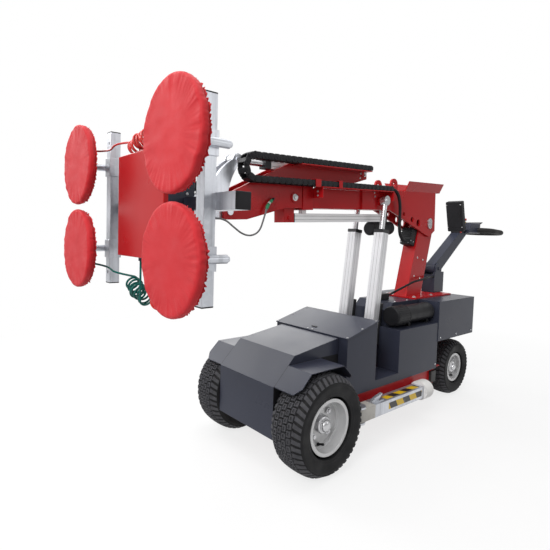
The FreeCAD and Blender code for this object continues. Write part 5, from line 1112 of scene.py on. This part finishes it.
# Clamps on the chain's lower run: places and half lengths, and sides and heights of their legs
clamps = ((-1037, 17), (-886, 12))
legs = ((-109.6, -107.2, 163.5, 198), (-107.2, -53.5, 195.6, 198))
pile = Pile()
for x, half in clamps:
    for y0, y1, h0, h1 in legs:
        corners = [on_boom(x + sx * half, y, h) for sx in (-1, 1) for y in (y0, y1) for h in (h0, h1)]
        pile.add(corners, BRICK)
pile.piece("chain_clamps", "red_paint", "boom", bevel=0.0008)

# Ribs and rings of the document tube
tube_side, tube_height, ribs = -160, 545, 28
rib_ends, rib_half, rib_radii = (653, 740), 1.9, (49, 51.2)
pile = Pile()
for i in range(ribs):
    a = tau * i / ribs
    out, along = Vector((0, cos(a), sin(a))), Vector((0, -sin(a), cos(a)))
    corners = [at(s, tube_side, tube_height) + out * r / 1000 + along * w / 1000
               for s in rib_ends for w in (-rib_half, rib_half) for r in rib_radii]
    pile.add(corners, BRICK)
for s, profile in ((743, ((0.0498, 0), (0.0514, 0.001), (0.0514, 0.006), (0.0498, 0.007))),
                   (968, ((0.0458, 0), (0.0474, 0.001), (0.0474, 0.009), (0.0458, 0.01)))):
    pile.lathe(profile, facing(at(s, tube_side, tube_height), (1, 0, 0)), 48, False)
pile.piece("document_ribs", "black_plastic", "chassis", bevel=0.0004)

# Rings round the telescope drive's motor: place along the boom, width and radius
rings = ((-512, 7, 36.6), (-492, 3, 36), (-478, 3, 36), (-464, 3, 36), (-356, 5, 36.2), (-340, 5, 36.2))
motor_height, inside, soft = -23, 0.034, 0.0008
pile = Pile()
boom_way = on_boom(1, 0, 0) - on_boom(0, 0, 0)
for x, wide, r in rings:
    wide, r = wide / 1000, r / 1000
    pile.lathe([(inside, 0), (r, soft), (r, wide - soft), (inside, wide)],
               facing(on_boom(x, 0, motor_height), boom_way), 48, False)
pile.piece("motor_rings", "black_plastic", "boom")


# Floor and backdrop

reach = 40  # metres from the middle of the floor to its sides
corners = [(-reach, -reach, 0), (reach, -reach, 0), (reach, reach, 0), (-reach, reach, 0)]
mesh = bpy.data.meshes.new("floor")
mesh.from_pydata(corners, [], [[0, 1, 2, 3]])
ground = placed("floor", mesh)
m = Shade("pale_floor")
m.tree.nodes.remove(m.shader)
rays = m.add("LightPath").outputs
seen = m.math("MAXIMUM", rays["Is Camera Ray"], rays["Is Glossy Ray"])
seen = m.math("MAXIMUM", seen, rays["Is Transmission Ray"])
far = m.far(m.x, m.y)
glow = m.add("Emission", {"Color": rgb(1, 1, 1)}).outputs[0]
white = m.add("BsdfDiffuse", {"Color": rgb(0.88, 0.88, 0.88)}).outputs[0]
grey = m.add("BsdfDiffuse", {"Color": rgb(0.42, 0.42, 0.42)}).outputs[0]
shown = m.add("MixShader", {0: m.span(far, 1.4, 3, 0.76, 1), 1: white, 2: glow}).outputs[0]
ground_look = m.add("MixShader", {0: seen, 1: grey, 2: shown}).outputs[0]
m.put(m.tree.nodes["Material Output"].inputs["Surface"], ground_look)
mesh.materials.append(m.material)

# White backdrop behind and above the machine, a dimmer room in front of it
world = bpy.data.worlds.new("studio")
scene.world = world
sky = Nodes(world)
rays = sky.add("LightPath").outputs
way = sky.add("TexCoord").outputs["Generated"]
side = sky.add("VectorMath", {0: way, 1: (-0.25, 0.72, 0.64)}, operation="DOT_PRODUCT").outputs["Value"]
room = sky.span(side, -0.75, 0.25, 0.3, 1)
gloss = sky.math("MAXIMUM", rays["Is Glossy Ray"], rays["Is Transmission Ray"])
light = sky.times(room, sky.span(gloss, 0, 1, 0.46, 1))
back = sky.tree.nodes["Background"].inputs
sky.put(back["Color"], rgb(1, 1, 1))
sky.put(back["Strength"], sky.math("MAXIMUM", light, rays["Is Camera Ray"]))
